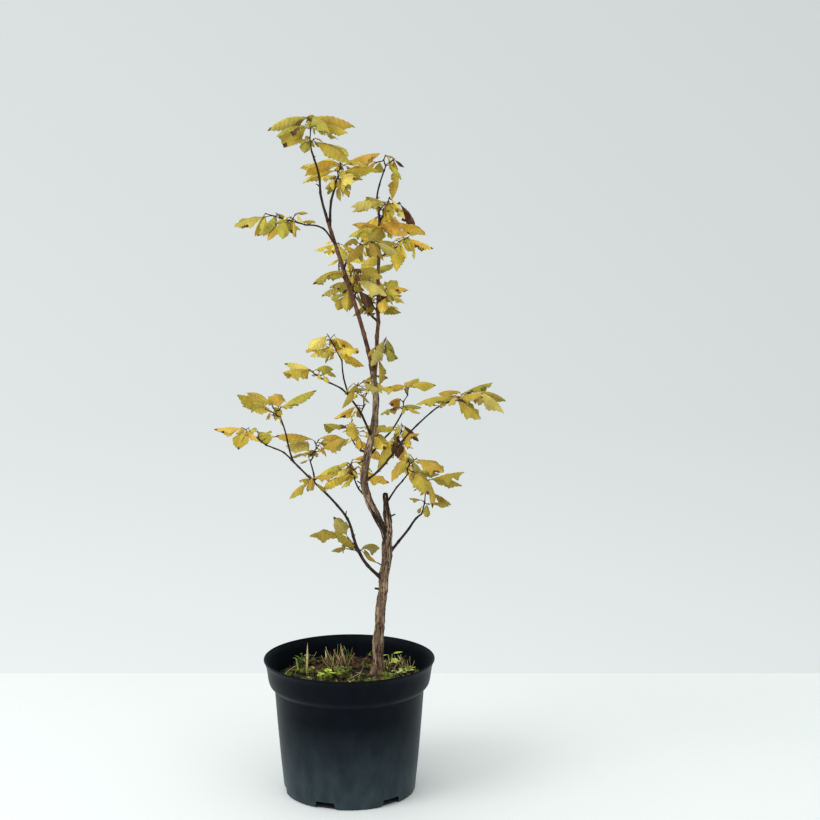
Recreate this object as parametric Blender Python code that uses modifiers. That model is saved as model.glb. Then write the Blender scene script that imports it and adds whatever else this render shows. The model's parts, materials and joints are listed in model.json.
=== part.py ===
"""A young cut-leaved European beech in autumn leaf, standing in a round nursery pot.

The pot, the root ball, each limb and each spray of foliage is a solid of its own. The sizes below are in
millimetres and the meshes are in metres. The origin is the middle of the pot's flat underside, +Z is up
and -Y is the front.
"""

import math
import random
from collections import namedtuple

import bmesh
import bpy
import numpy as np
from mathutils import Matrix, Vector

MM = 0.001
CLEAR = 0.3  # the gap between neighbouring solids

# The pot: a thin cup with a flared lip, a deep band below it and a shoulder down to the tapered body
POT_HEIGHT = 175.0
LIP_RADIUS = 110.0
LIP_DEPTH = 16.5
BAND_TOP_RADIUS = 105.6
BAND_FOOT_RADIUS = 103.2
BAND_DEPTH = 31.5
SHOULDER_DEPTH = 38.5
BODY_TOP_RADIUS = 96.4
BODY_FOOT_RADIUS = 84.8
FOOT_ROUNDING = 3.0
POT_WALL = 1.6
POT_SIDES = 48

# Drain notches round the pot's foot
NOTCHES = 6
NOTCH_WIDTH = 28.0
NOTCH_HEIGHT = 9.5
NOTCH_DEPTH = 12.0
NOTCH_TAPER = 0.86  # how much narrower a notch's top is than its middle
FIRST_NOTCH = math.radians(-110)

# The root ball fills the pot up to the soil, which is level round the trunk
BALL_ROOM = 1.2
SOIL_HEIGHT = 150.0
SOIL_EDGE_DROP = 3.0
SOIL_LEVEL_RADIUS = 62.0

# Limbs: round tubes on curves
TRUNK_FOOT = (36.0, 8.0, SOIL_HEIGHT + CLEAR)
FOOT_CUT = 2.0  # the trunk rises straight from its flat cut for this far
FLARE = 3.4  # how much wider the trunk is at its foot, and how fast that fades
FLARE_REACH = 9.0
STATION_SPACING = 14.0
THICK_LIMBS = ("trunk", "main_stem")
SIBLING_ROOM = 30.0  # limbs that spring this near one another from one parent are cut clear of each other

# Sprays of foliage: a zigzag stem with a short shoot at each turn, and leaves that fan out from the shoots
STEM_RADIUS = 1.1
TWIG_RADIUS = 0.8
SHOOT_START_RADIUS = 0.5
BUD_RADIUS = 1.7

# A union that leaves a flaw is made again with its twigs twisted and its leaves thicker by these
ATTEMPTS = 8
TWIST_STEP = 0.3
THICKNESS_STEP = 0.05
ZIGZAG = 1.6
SHOOT_TURN = (0.5, 1.3)
SHOOT_LENGTH = (3.0, 14.0)
SHOOT_CLIMB = (-0.3, 0.7)
OUTWARD_STRAY = 1.2
FAN_STEP = 1.15
FAN_STRAY = 0.45

# Leaves: a drooping midrib with the two halves of the blade folded down from it
LENGTH_SPREAD = (0.6, 1.2)
WIDTH_SHARE = (0.40, 0.56)
LIFT_STRAY = 0.4
DROOP = (0.4, 1.5)
SWEEP = 0.5
ROLL = 0.7
FOLD = (0.3, 1.0)
LEAF_STEPS = 8
LEAF_PROFILE = (0.0, 0.10, 0.60, 0.95, 1.0, 0.90, 0.67, 0.34, 0.0)
LEAF_SECTIONS = (2, 5)
LEAF_THICKNESS = 0.65
STALK_HALF_WIDTH = 0.5
STALK_START = 0.7

# The crowded points along the seams of a union slide onto a neighbour this near, where that moves the
# surface by no more than the shift and leaves no face smaller than this
SEAM_EDGE = 1.2
SEAM_SHIFT = 0.12
SMALLEST_FACE = 0.004
NEAR_POINTS = 0.03
TOUCHING = (0.0002, 0.001, 0.004, 0.016)

# The room that a spray keeps to limbs, to other sprays and between its own leaves
SPACE = 1.35
LIMB_ROOM = 2.5
SPRAY_ROOM = 4.0
OWN_ROOM = 1.8
SHOOT_LIMB_ROOM = 1.5
SHOOT_SPRAY_ROOM = 2.5
CLOUD_STEP = 3.0
CLOUD_ROWS = 12
CLOUD_COLUMNS = 7
CLOUD_STRETCH = 8

# Each limb springs from its parent's axis, at a share of the parent's length. Its reach goes from there to
# its tip, each bow moves a control point of its curve off that line, and its radii are evenly spaced.
Limb = namedtuple("Limb", "name parent at reach bows radii")
LIMBS = (
    Limb("trunk", None, 0, (10, -2, 237),
         ((-1, 0, 21), (0, 0, -9), (14, 0, 8)), (7.4, 6.6, 6, 6.2, 6.4, 5.2, 3.3)),
    Limb("main_stem", "trunk", 0.74, (-18, -7, 218),
         ((-18, -2, 23), (-62, 2, -23), (19, -2, 18), (-1, 2, -5)), (4.2, 5.2, 4.6, 4.3, 4.2, 3.6)),
    Limb("leader_left", "main_stem", 1, (-54, -18, 187), ((6, 1, 1), (0, 1, 2)), (2.8, 2.5, 2.2)),
    Limb("leader_middle", "main_stem", 0.93, (7, 18, 202), ((5, -1, -2), (0, -1, 0)), (2.7, 2.3, 1.8)),
    Limb("tip_left", "leader_left", 1, (-19, -10, 86), ((-6, 1, -1), (6, 1, 1)), (1.7, 1.2)),
    Limb("tip_right", "leader_left", 0.97, (8, 22, 56), ((-4, -1, 1),), (1.7, 1.3)),
    Limb("upper_left", "leader_left", 0.85, (-34, -31, 25), ((3, -7, 7), (9, 5, 8)), (1.2, 1)),
    Limb("upper_right", "leader_left", 0.67, (21, -36, 34), ((-6, -4, 4), (-3, 1, 3)), (1.3, 0.9)),
    Limb("inner_left", "leader_left", 0.53, (-16, 31, 23), ((1, -3, 1),), (1.2, 0.9)),
    Limb("middle_tip", "leader_middle", 1, (6, 8, 63), ((-5, 0, 7), (-10, -2, -6)), (1.4, 0.9)),
    Limb("middle_left", "leader_middle", 0.39, (-26, 17, 26), ((-1, 6, -4),), (1.4, 0.9)),
    Limb("middle_back", "leader_middle", 0.54, (-17, 53, 19), ((0, 5, 0),), (1.4, 0.9)),
    Limb("middle_right", "leader_middle", 0.78, (23, 30, 12), ((1, 3, 0),), (1.2, 0.9)),
    Limb("low_left", "trunk", 0.51, (-111, -47, 162),
         ((-36, 2, 11), (36, -3, 2), (35, 2, -29)), (2.2, 1.2)),
    Limb("low_left_side", "low_left", 0.89, (-6, 23, 22), ((3, -10, -3),), (1.2, 0.9)),
    Limb("low_left_up", "low_left", 1, (-12, -44, 59), ((-2, 2, -7), (3, 0, 2)), (1.2, 0.9)),
    Limb("low_left_far", "low_left", 0.98, (-41, 25, 22), ((2, -6, 10),), (1.1, 0.9)),
    Limb("low_right", "trunk", 0.67, (45, 37, 42), ((3, -4, -8), (-1, 3, 5)), (2, 1.2)),
    Limb("mid_right", "trunk", 0.95, (28, -48, 46), ((-1, 0, 1),), (1.3, 0.9)),
    Limb("far_right", "main_stem", 0.34, (91, -30, 98),
         ((12, -6, -5), (-11, 4, -1), (0, -2, 4)), (1.5, 1.3, 0.9)),
    Limb("right_upper", "main_stem", 0.48, (43, 55, 46), ((2, -4, 1), (3, 0, -3)), (1.5, 1)),
    Limb("left_mid", "main_stem", 0.61, (-61, -34, 78),
         ((11, -4, -6), (4, -1, 22), (16, 0, 3)), (1.7, 0.9)),
    Limb("left_mid_up", "left_mid", 0.6, (-10, 49, 38), ((-4, 3, 1),), (1.2, 0.9)),
    Limb("left_inner", "main_stem", 0.51, (-20, 39, 10), ((-4, 0, -4),), (1.4, 0.9)),
    Limb("left_low_inner", "main_stem", 0.21, (-20, 57, 17), ((-3, -2, -2),), (1.5, 0.9)),
)

# Each spray's stem goes on from a share of a limb's length by its reach. Its leaves have a mean length and
# rise from level by a mean angle. Each of its clusters is a number of leaves and the seed they grow from.
Spray = namedtuple("Spray", "name limb at reach leaf_length lift clusters")
SPRAYS = (
    Spray("spray_crown_left", "tip_left", 1, (-3, -3, 40), 52, 0.11, ((2, 286), (5, 787), (5, 134))),
    Spray("spray_crown_right", "tip_right", 1, (5, 4, 20), 49, 0.44,
          ((2, 839), (3, 142), (4, 349), (6, 950))),
    Spray("spray_upper_left", "upper_left", 1, (-49, -2, 14), 37, -0.01,
          ((3, 991), (2, 656), (3, 722), (4, 891), (1, 629))),
    Spray("spray_upper_right", "upper_right", 1, (9, -10, 2), 43, 0.35, ((1, 973), (2, 742), (4, 38))),
    Spray("spray_leader_tip", "middle_tip", 1, (1, 37, 19), 48, -0.5, ((1, 183), (2, 109), (1, 440))),
    Spray("spray_leader_bud", "leader_middle", 0.99, (12, 15, 31), 52, -0.67,
          ((1, 818), (1, 661), (1, 226), (3, 847))),
    Spray("spray_leader_cross", "leader_middle", 0.94, (11, -12, 1), 51, 0.43,
          ((5, 526), (1, 854), (1, 616))),
    Spray("spray_right_high", "middle_right", 1, (5, 13, 7), 52, -0.13, ((3, 581), (4, 642))),
    Spray("spray_inner_high", "inner_left", 1, (0, 0, 35), 31, -0.31,
          ((1, 56), (3, 653), (1, 240), (1, 77), (5, 625))),
    Spray("spray_inner_mid", "leader_left", 0.56, (4, 4, 22), 47, 0.14, ((1, 111), (3, 611), (1, 603))),
    Spray("spray_middle_left", "middle_left", 1, (-8, -8, 20), 42, 0.12,
          ((3, 472), (1, 947), (1, 662), (3, 801), (1, 557))),
    Spray("spray_middle_back", "middle_back", 1, (5, 13, 7), 52, 0.32, ((3, 97), (1, 599), (1, 830))),
    Spray("spray_middle_low", "leader_middle", 0.4, (-8, 25, 26), 39, 0.22, ((1, 31), (4, 934), (1, 546))),
    Spray("spray_middle_side", "leader_middle", 0.46, (9, -10, 25), 49, 0.23, ((1, 770), (3, 702))),
    Spray("spray_fork", "leader_middle", 0.14, (12, -12, 30), 39, -0.42, ((1, 98), (1, 551), (3, 684))),
    Spray("spray_left_high", "left_mid_up", 1, (-17, 0, 32), 39, 0.15,
          ((3, 623), (3, 38), (2, 969), (4, 402), (1, 334))),
    Spray("spray_left_mid", "left_mid", 1, (-11, 6, 7), 38, 0.42, ((2, 747), (1, 913), (3, 403))),
    Spray("spray_left_twig", "left_mid", 0.34, (13, 35, 42), 34, -0.25,
          ((2, 236), (1, 301), (1, 481), (1, 562), (1, 706))),
    Spray("spray_left_fringe", "left_mid", 0.62, (13, -21, 16), 32, -0.18, ((1, 79), (1, 106), (2, 629))),
    Spray("spray_low_left_up", "low_left_up", 1, (-11, 17, 13), 48, 0.48,
          ((2, 80), (3, 878), (2, 740), (3, 563))),
    Spray("spray_low_left_far", "low_left_far", 1, (-28, 7, 20), 45, 0.14, ((2, 529), (1, 725), (4, 558))),
    Spray("spray_low_left_side", "low_left_side", 1, (10, 10, 26), 45, 0.37,
          ((2, 857), (2, 455), (1, 281), (3, 457), (1, 281))),
    Spray("spray_low_left_hang", "low_left", 0.89, (-4, -8, 1), 35, 0.17, ((3, 59), (1, 892))),
    Spray("spray_left_inner", "left_inner", 1, (-1, -8, 26), 44, 0.01,
          ((2, 271), (1, 995), (1, 891), (1, 604), (1, 551), (1, 666))),
    Spray("spray_left_low_inner", "left_low_inner", 1, (-6, 21, 16), 48, -0.03,
          ((1, 301), (4, 261), (1, 937), (2, 475), (2, 572))),
    Spray("spray_low_inner", "low_left", 0.12, (-24, 19, 30), 47, 0.64,
          ((3, 211), (1, 777), (1, 963), (2, 226))),
    Spray("spray_right_upper", "right_upper", 1, (10, 45, 30), 39, 0.3,
          ((3, 711), (1, 919), (2, 409), (4, 5))),
    Spray("spray_far_right", "far_right", 1, (42, 2, 19), 49, 0.21,
          ((1, 155), (2, 20), (5, 973), (3, 496), (1, 211), (1, 421))),
    Spray("spray_mid_right", "mid_right", 1, (0, -7, 19), 47, 0.05, ((2, 831), (1, 758), (6, 89))),
    Spray("spray_right_inner", "far_right", 0.42, (10, 22, 30), 48, -0.53,
          ((1, 366), (2, 436), (1, 635), (2, 79))),
    Spray("spray_low_right", "low_right", 1, (9, 6, 43), 45, 0.11, ((3, 250), (1, 866), (3, 909))),
    Spray("spray_crown_low", "tip_right", 0.8, (14, 12, 18), 33, -0.4,
          ((1, 83), (2, 744), (1, 963), (1, 754))),
    Spray("spray_leader_side", "middle_tip", 0.12, (9, -55, 15), 43, 0.07, ((1, 58), (2, 913))),
)

Leaf = namedtuple("Leaf", "base azimuth climb droop sweep roll fold length width tone")
Growth = namedtuple("Growth", "stem shoots leaves")
Cloud = namedtuple("Cloud", "points radius middle span")

# Colours and roughness of the materials
FINISHES = {
    "pot_plastic": ((0.013, 0.016, 0.020), 0.42),
    "compost": ((0.045, 0.040, 0.012), 0.95),
    "grey_bark": ((0.130, 0.095, 0.065), 0.85),
    "young_bark": ((0.105, 0.045, 0.022), 0.65),
    "yellow_leaf": ((0.520, 0.370, 0.035), 0.60),
}


# Directions and curves


def unit(vector):
    return vector / np.linalg.norm(vector)


def heading(azimuth, climb):
    """Unit directions from angles round +Z and angles above level."""
    flat = np.cos(climb)
    return np.stack((flat * np.cos(azimuth), flat * np.sin(azimuth), np.sin(climb)), -1)


def point_on(controls, share):
    """The point at a share of the Bezier curve with these control points."""
    points = [np.asarray(point, float) for point in controls]
    while len(points) > 1:
        points = [a + (b - a) * share for a, b in zip(points, points[1:])]
    return points[0]


def limb_curves():
    """Each limb's control points, by its name."""
    curves = {}
    for limb in LIMBS:
        root = np.array(TRUNK_FOOT)
        if limb.parent:
            root = point_on(curves[limb.parent], limb.at)
        reach = np.array(limb.reach, float)
        parts = len(limb.bows) + 1
        inner = [root + reach * (i + 1) / parts + np.array(bow, float) for i, bow in enumerate(limb.bows)]
        curves[limb.name] = [root, *inner, root + reach]
    return curves


def limb_radius(limb, share):
    even = np.linspace(0, 1, len(limb.radii))
    return float(np.interp(share, even, limb.radii))


# The growth rule of a spray


def grow(spray, root):
    """Clusters of a spray, each with its twigs (start, end, start radius, end radius) and its leaves."""
    reach = np.array(spray.reach, float)
    along = unit(reach)
    axis = math.atan2(along[1], along[0])
    side = np.array((-math.sin(axis), math.cos(axis), 0.0))
    count = len(spray.clusters)
    knots, radii = [], []
    for i in range(count + 1):
        sway = ZIGZAG * (-1) ** i if 0 < i < count else 0.0
        knots.append(root + reach * i / count + side * sway)
        radii.append(STEM_RADIUS + (TWIG_RADIUS - STEM_RADIUS) * i / count)
    clusters = []
    for i, (size, seed) in enumerate(spray.clusters):
        rng = random.Random(seed)
        hub = knots[i + 1]
        twigs = [(knots[i], hub, radii[i], radii[i + 1])]
        outward = axis + rng.uniform(-OUTWARD_STRAY, OUTWARD_STRAY)
        if i < count - 1:
            outward = axis + rng.choice((-1, 1)) * rng.uniform(*SHOOT_TURN)
            end = hub + heading(outward, rng.uniform(*SHOOT_CLIMB)) * rng.uniform(*SHOOT_LENGTH)
            twigs.append((hub, end, radii[i + 1], TWIG_RADIUS))
            hub = end
        leaves = [grow_leaf(rng, spray, hub, outward + (j - (size - 1) / 2) * FAN_STEP) for j in range(size)]
        clusters.append((twigs, leaves))
    return clusters


def grow_leaf(rng, spray, hub, azimuth):
    azimuth += rng.uniform(-FAN_STRAY, FAN_STRAY)
    length = spray.leaf_length * rng.uniform(*LENGTH_SPREAD)
    climb = spray.lift + rng.uniform(-LIFT_STRAY, LIFT_STRAY)
    droop = rng.uniform(*DROOP)
    sweep = rng.uniform(-SWEEP, SWEEP)
    roll = rng.uniform(-ROLL, ROLL)
    fold = rng.uniform(*FOLD)
    width = length * rng.uniform(*WIDTH_SHARE)
    return Leaf(hub, azimuth, climb, droop, sweep, roll, fold, length, width, rng.random())


def midrib(leaf, steps):
    """Points along a leaf's midrib, with the blade's across and up directions there."""
    between = (np.arange(steps) + 0.5) / steps
    strides = heading(leaf.azimuth + leaf.sweep * between, leaf.climb - leaf.droop * between)
    points = leaf.base + np.vstack((np.zeros(3), np.cumsum(strides, 0))) * leaf.length / steps
    at = np.arange(steps + 1) / steps
    azimuth = leaf.azimuth + leaf.sweep * at
    flat = np.stack((-np.sin(azimuth), np.cos(azimuth), 0 * at), -1)
    rise = heading(azimuth, leaf.climb - leaf.droop * at + math.pi / 2)
    across = flat * math.cos(leaf.roll) - rise * math.sin(leaf.roll)
    up = rise * math.cos(leaf.roll) + flat * math.sin(leaf.roll)
    return points, across, up


def blade(leaf):
    """The left edge, the midrib and the right edge of a leaf's blade."""
    points, across, up = midrib(leaf, LEAF_STEPS)
    half = (leaf.width / 2 * np.array(LEAF_PROFILE))[:, None]
    out = across * half * math.cos(leaf.fold)
    drop = up * half * math.sin(leaf.fold)
    return points + out - drop, points, points - out - drop


# What a spray keeps clear of, as clouds of points


def cloud_of(points, radius):
    middle = points.mean(0)
    span = np.linalg.norm(points - middle, axis=1).max() + float(np.max(radius))
    return Cloud(points, radius, middle, span)


def limb_clouds(curves):
    clouds = []
    for limb in LIMBS:
        count = max(6, int(np.linalg.norm(limb.reach) / CLOUD_STEP))
        shares = np.linspace(0, 1, count)
        points = np.array([point_on(curves[limb.name], share) for share in shares])
        radii = np.array([limb_radius(limb, share) for share in shares])
        for first in range(0, count, CLOUD_STRETCH):
            stretch = slice(first, first + CLOUD_STRETCH + 1)
            clouds.append(cloud_of(points[stretch], radii[stretch]))
    return clouds


def twig_cloud(twig):
    start, end, radius, _ = twig
    count = max(2, int(np.linalg.norm(end - start) / CLOUD_STEP) + 1)
    shares = np.linspace(0, 1, count)[:, None]
    return cloud_of(start + (end - start) * shares, radius)


def leaf_cloud(leaf):
    """Points all over a leaf's blade, from past its stalk to its tip."""
    rows = np.linspace(2, LEAF_STEPS, CLOUD_ROWS + 1)
    steps = np.arange(LEAF_STEPS + 1)
    left, mid, right = (
        np.stack([np.interp(rows, steps, edge[:, axis]) for axis in range(3)], 1) for edge in blade(leaf)
    )
    columns = []
    for across in np.linspace(-1, 1, CLOUD_COLUMNS):
        edge = left if across < 0 else right
        columns.append(mid + (edge - mid) * abs(across))
    return cloud_of(np.concatenate(columns), 0.0)


def clear_of(points, clouds, room):
    middle = points.mean(0)
    span = np.linalg.norm(points - middle, axis=1).max()
    for cloud in clouds:
        if np.linalg.norm(cloud.middle - middle) > span + cloud.span + room:
            continue
        gaps = np.linalg.norm(points[:, None] - cloud.points, axis=2) - cloud.radius
        if gaps.min() < room:
            return False
    return True


def kept_growth(spray, root, limbs, others):
    """The spray's twigs and leaves that stay in its space and touch no limb, other spray or other leaf."""
    middle = root + np.array(spray.reach) / 2
    space = np.linalg.norm(spray.reach) / 2 + SPACE * spray.leaf_length
    stem, shoots, leaves, taken = [], [], [], []
    for new_twigs, new_leaves in grow(spray, root):
        stem.append(new_twigs[0])
        ways = [twig_cloud(twig).points for twig in new_twigs[1:]]
        near_limb = any(not clear_of(points, limbs, SHOOT_LIMB_ROOM) for points in ways)
        if near_limb or any(not clear_of(points, others, SHOOT_SPRAY_ROOM) for points in ways):
            continue
        shoots += new_twigs[1:]
        for leaf in new_leaves:
            cloud = leaf_cloud(leaf)
            inside = np.linalg.norm(cloud.points - middle, axis=1).max() <= space
            if (
                inside
                and clear_of(cloud.points, limbs, LIMB_ROOM)
                and clear_of(cloud.points, others, SPRAY_ROOM)
                and clear_of(cloud.points, taken, OWN_ROOM)
            ):
                taken.append(cloud)
                leaves.append(leaf)
    return Growth(stem, shoots, leaves), taken + [twig_cloud(twig) for twig in stem + shoots]


# Meshes and objects


def material(name):
    colour, roughness = FINISHES[name]
    found = bpy.data.materials.get(name) or bpy.data.materials.new(name)
    found.use_nodes = True
    shader = found.node_tree.nodes["Principled BSDF"]
    shader.inputs["Base Color"].default_value = (*colour, 1.0)
    shader.inputs["Roughness"].default_value = roughness
    shader.inputs["Metallic"].default_value = 0.0
    return found


def place(name, mesh, finish, collection, carrier=None):
    obj = bpy.data.objects.new(name, mesh)
    mesh.materials.clear()
    mesh.materials.append(material(finish))
    collection.objects.link(obj)
    obj.parent = carrier
    return obj


def mesh_from(bm, name):
    bmesh.ops.recalc_face_normals(bm, faces=bm.faces)
    mesh = bpy.data.meshes.new(name)
    bm.to_mesh(mesh)
    bm.free()
    return mesh


def evaluated_mesh(obj):
    bpy.context.view_layer.update()
    graph = bpy.context.evaluated_depsgraph_get()
    return bpy.data.meshes.new_from_object(obj.evaluated_get(graph), depsgraph=graph)


def discard(objects):
    for obj in list(objects):
        bpy.data.objects.remove(obj)


def apply_modifiers(obj):
    mesh = evaluated_mesh(obj)
    obj.modifiers.clear()
    obj.data = mesh


def shell_from(face, left):
    """Takes from the faces left those that are joined to this one across edges."""
    left.remove(face)
    shell, front = [face], [face]
    while front:
        for edge in front.pop().edges:
            if len(edge.link_faces) != 2:
                continue
            for other in edge.link_faces:
                if other in left:
                    left.remove(other)
                    shell.append(other)
                    front.append(other)
    return shell


def keep_one_body(mesh):
    """Drops loose scraps and fills sealed hollows: only the largest shell of the mesh is left."""
    bm = bmesh.new()
    bm.from_mesh(mesh)
    bmesh.ops.triangulate(bm, faces=bm.faces)
    left = set(bm.faces)
    shells = []
    while left:
        shells.append(shell_from(next(iter(left)), left))
    shells.sort(key=len)
    scraps = [face for shell in shells[:-1] for face in shell]
    bmesh.ops.delete(bm, geom=scraps, context="FACES")
    bm.to_mesh(mesh)
    bm.free()


def normal_of(corners):
    cross = np.cross(corners[1] - corners[0], corners[2] - corners[0])
    return cross / 2, np.linalg.norm(cross) / 2


def can_slide(a, b, points, faces, around):
    """Whether point a can move onto its neighbour b and leave the surface closed and nearly where it was."""
    if not around[a] or len(around[a] & around[b]) != 2:
        return False
    beside = {corner for face in around[a] for corner in faces[face]}
    if len(beside & {corner for face in around[b] for corner in faces[face]} - {a, b}) != 2:
        return False
    if np.linalg.norm(points[a] - points[b]) < NEAR_POINTS:
        return True
    for face in around[a] - around[b]:
        old, old_area = normal_of(points[list(faces[face])])
        moved = [b if corner == a else corner for corner in faces[face]]
        new, new_area = normal_of(points[moved])
        if new_area < SMALLEST_FACE or old @ new < 0.4 * old_area * new_area:
            return False
        if old_area > SMALLEST_FACE and abs(old @ (points[b] - points[a])) > SEAM_SHIFT * old_area:
            return False
    return True


def thin_out(mesh):
    """Takes out the crowded points that a union leaves along its seams."""
    points = np.array([vert.co for vert in mesh.vertices]) / MM
    faces = dict(enumerate(tuple(face.vertices) for face in mesh.polygons))
    around = [set() for _ in points]
    for face, corners in faces.items():
        for corner in corners:
            around[corner].add(face)
    edges = {(c[i], c[i - 1]) for c in faces.values() for i in range(3)}
    lengths = {edge: np.linalg.norm(points[edge[0]] - points[edge[1]]) for edge in edges}
    short = sorted((length, edge) for edge, length in lengths.items() if length < SEAM_EDGE)
    for _, (a, b) in short + short:
        if not can_slide(a, b, points, faces, around):
            continue
        for face in around[a] & around[b]:
            for corner in faces.pop(face):
                around[corner].discard(face)
        for face in around[a]:
            faces[face] = tuple(b if corner == a else corner for corner in faces[face])
            around[b].add(face)
        around[a] = set()
    used = sorted({corner for corners in faces.values() for corner in corners})
    place_of = {corner: i for i, corner in enumerate(used)}
    mesh.clear_geometry()
    mesh.from_pydata(points[used] * MM, [], [[place_of[corner] for corner in c] for c in faces.values()])
    mesh.update()


def is_sound(mesh):
    """Whether every edge still joins two faces once points that nearly touch are one."""
    points = np.array([vert.co for vert in mesh.vertices]) / MM
    for distance in TOUCHING:
        _, index = np.unique(np.round(points / distance).astype(np.int64), axis=0, return_inverse=True)
        index = index.reshape(-1)
        ways = {}
        for face in mesh.polygons:
            corners = [index[corner] for corner in face.vertices]
            if len(set(corners)) < 3:
                continue
            for a, b in zip(corners, corners[1:] + corners[:1]):
                ways[(a, b)] = ways.get((a, b), 0) + 1
        if any(count != 1 or ways.get((b, a)) != 1 for (a, b), count in ways.items()):
            return False
    return True


def turned(name, outline, finish, collection, carrier):
    """A body of revolution from an outline of (radius, height) that runs down its outer side."""
    bm = bmesh.new()
    verts = [bm.verts.new((radius * MM, 0, height * MM)) for radius, height in outline]
    for a, b in zip(verts, verts[1:]):
        bm.edges.new((a, b))
    mesh = bpy.data.meshes.new(name)
    bm.to_mesh(mesh)
    bm.free()
    obj = place(name, mesh, finish, collection, carrier)
    turn = obj.modifiers.new("turn", "SCREW")
    turn.steps = turn.render_steps = POT_SIDES
    turn.use_merge_vertices = True
    turn.merge_threshold = 1e-5
    return obj


# The pot and the root ball


def pot_outline(inset=0.0, lift=0.0):
    """The pot's outer side from lip to underside, or that line moved inwards and with its foot lifted."""
    shoulder = POT_HEIGHT - SHOULDER_DEPTH
    lip = [
        (LIP_RADIUS - 0.8, POT_HEIGHT),
        (LIP_RADIUS, POT_HEIGHT - 1.2),
        (LIP_RADIUS - 0.8, POT_HEIGHT - 3.4),
        (LIP_RADIUS - 3.2, POT_HEIGHT - 9.0),
        (BAND_TOP_RADIUS, POT_HEIGHT - LIP_DEPTH),
    ]
    band = [
        (BAND_FOOT_RADIUS, POT_HEIGHT - BAND_DEPTH),
        (BAND_FOOT_RADIUS - 1.6, POT_HEIGHT - BAND_DEPTH - 2.6),
        (BODY_TOP_RADIUS, shoulder - 1.0),
    ]
    foot = [(BODY_FOOT_RADIUS, FOOT_ROUNDING), (BODY_FOOT_RADIUS - FOOT_ROUNDING, 0.0)]
    line = [(radius - inset, max(height, lift)) for radius, height in lip + band + foot]
    return [*line, (0.0, lift)]


def build_pot(collection, cutters, carrier):
    pot = turned("pot", pot_outline(), "pot_plastic", collection, carrier)
    wall = pot.modifiers.new("wall", "SOLIDIFY")
    wall.thickness = POT_WALL * MM
    wall.offset = -1.0
    wall.use_even_offset = True
    for i in range(NOTCHES):
        azimuth = FIRST_NOTCH + i * math.tau / NOTCHES
        bm = bmesh.new()
        bmesh.ops.create_cube(bm, size=1.0)
        size = Vector((NOTCH_DEPTH, NOTCH_WIDTH, 2 * NOTCH_HEIGHT)) * MM
        bmesh.ops.scale(bm, vec=size, verts=bm.verts)
        for vert in bm.verts:
            vert.co.y *= NOTCH_TAPER if vert.co.z > 0 else 1 / NOTCH_TAPER
        notch = place(f"notch_{i + 1}", mesh_from(bm, f"notch_{i + 1}"), "compost", cutters)
        radius = BODY_FOOT_RADIUS * MM
        notch.location = (radius * math.cos(azimuth), radius * math.sin(azimuth), 0)
        notch.rotation_euler = (0, 0, azimuth)
        notch.hide_render = True
        notch.display_type = "WIRE"
        cut = pot.modifiers.new(notch.name, "BOOLEAN")
        cut.operation = "DIFFERENCE"
        cut.object = notch


def build_root_ball(collection, carrier):
    surface = SOIL_HEIGHT - SOIL_EDGE_DROP
    outline = pot_outline(POT_WALL + BALL_ROOM, POT_WALL + CLEAR)
    wall = [point for point in outline if point[1] < surface]
    above = next(point for point in reversed(outline) if point[1] >= surface)
    share = (surface - wall[0][1]) / (above[1] - wall[0][1])
    rim = (wall[0][0] + (above[0] - wall[0][0]) * share - CLEAR, surface)
    top = [(0.0, SOIL_HEIGHT), (SOIL_LEVEL_RADIUS, SOIL_HEIGHT), rim]
    turned("root_ball", top + wall, "compost", collection, carrier)


# The limbs


def limb_mesh(limb, curve, extra=0.0):
    """A limb's tube as a closed mesh. As a cutter it is fatter by extra, and that much longer at its tip."""
    count = max(3, round(np.linalg.norm(limb.reach) / STATION_SPACING) + 1)
    shares = np.linspace(0, 1, count)
    points = [point_on(curve, share) for share in shares]
    radii = [limb_radius(limb, share) + extra for share in shares]
    if limb.parent is None:
        risen = points[0] + np.array((0.0, 0.0, FOOT_CUT))
        points.insert(1, risen)
        radii.insert(1, radii[0])
        distances = [np.linalg.norm(point - points[0]) for point in points]
        radii = [r + FLARE * math.exp(-distance / FLARE_REACH) for r, distance in zip(radii, distances)]
    if extra:
        points.append(points[-1] + unit(points[-1] - points[-2]) * extra)
        radii.append(radii[-1])
    data = bpy.data.curves.new(limb.name, "CURVE")
    data.dimensions = "3D"
    data.bevel_depth = MM
    data.bevel_resolution = 2 if limb.name in THICK_LIMBS else 1
    data.use_fill_caps = True
    spline = data.splines.new("POLY")
    spline.points.add(len(points) - 1)
    for place_on, point, radius in zip(spline.points, points, radii):
        place_on.co = (*(point * MM), 1.0)
        place_on.radius = radius
    guide = bpy.data.objects.new(limb.name + "_guide", data)
    bpy.context.scene.collection.objects.link(guide)
    mesh = evaluated_mesh(guide)
    discard([guide])
    bm = bmesh.new()
    bm.from_mesh(mesh)
    bmesh.ops.remove_doubles(bm, verts=bm.verts, dist=1e-6)
    bmesh.ops.triangulate(bm, faces=bm.faces)
    return mesh_from(bm, limb.name)


def cut_clear(obj, limb, curves, cutters):
    """Cuts from an object the space that a limb takes up with its clearance."""
    cutter = place("clearance", limb_mesh(limb, curves[limb.name], CLEAR), "grey_bark", cutters)
    cut = obj.modifiers.new("clearance", "BOOLEAN")
    cut.operation = "DIFFERENCE"
    cut.object = cutter
    apply_modifiers(obj)
    discard([cutter])
    keep_one_body(obj.data)


def neighbours_at_root(parent_name, at, limbs):
    """The limb that another one or a spray springs from, and those of these limbs that spring close by."""
    parent = next(limb for limb in LIMBS if limb.name == parent_name)
    near = SIBLING_ROOM / np.linalg.norm(parent.reach)
    return [parent] + [limb for limb in limbs if limb.parent == parent_name and abs(limb.at - at) < near]


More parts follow.
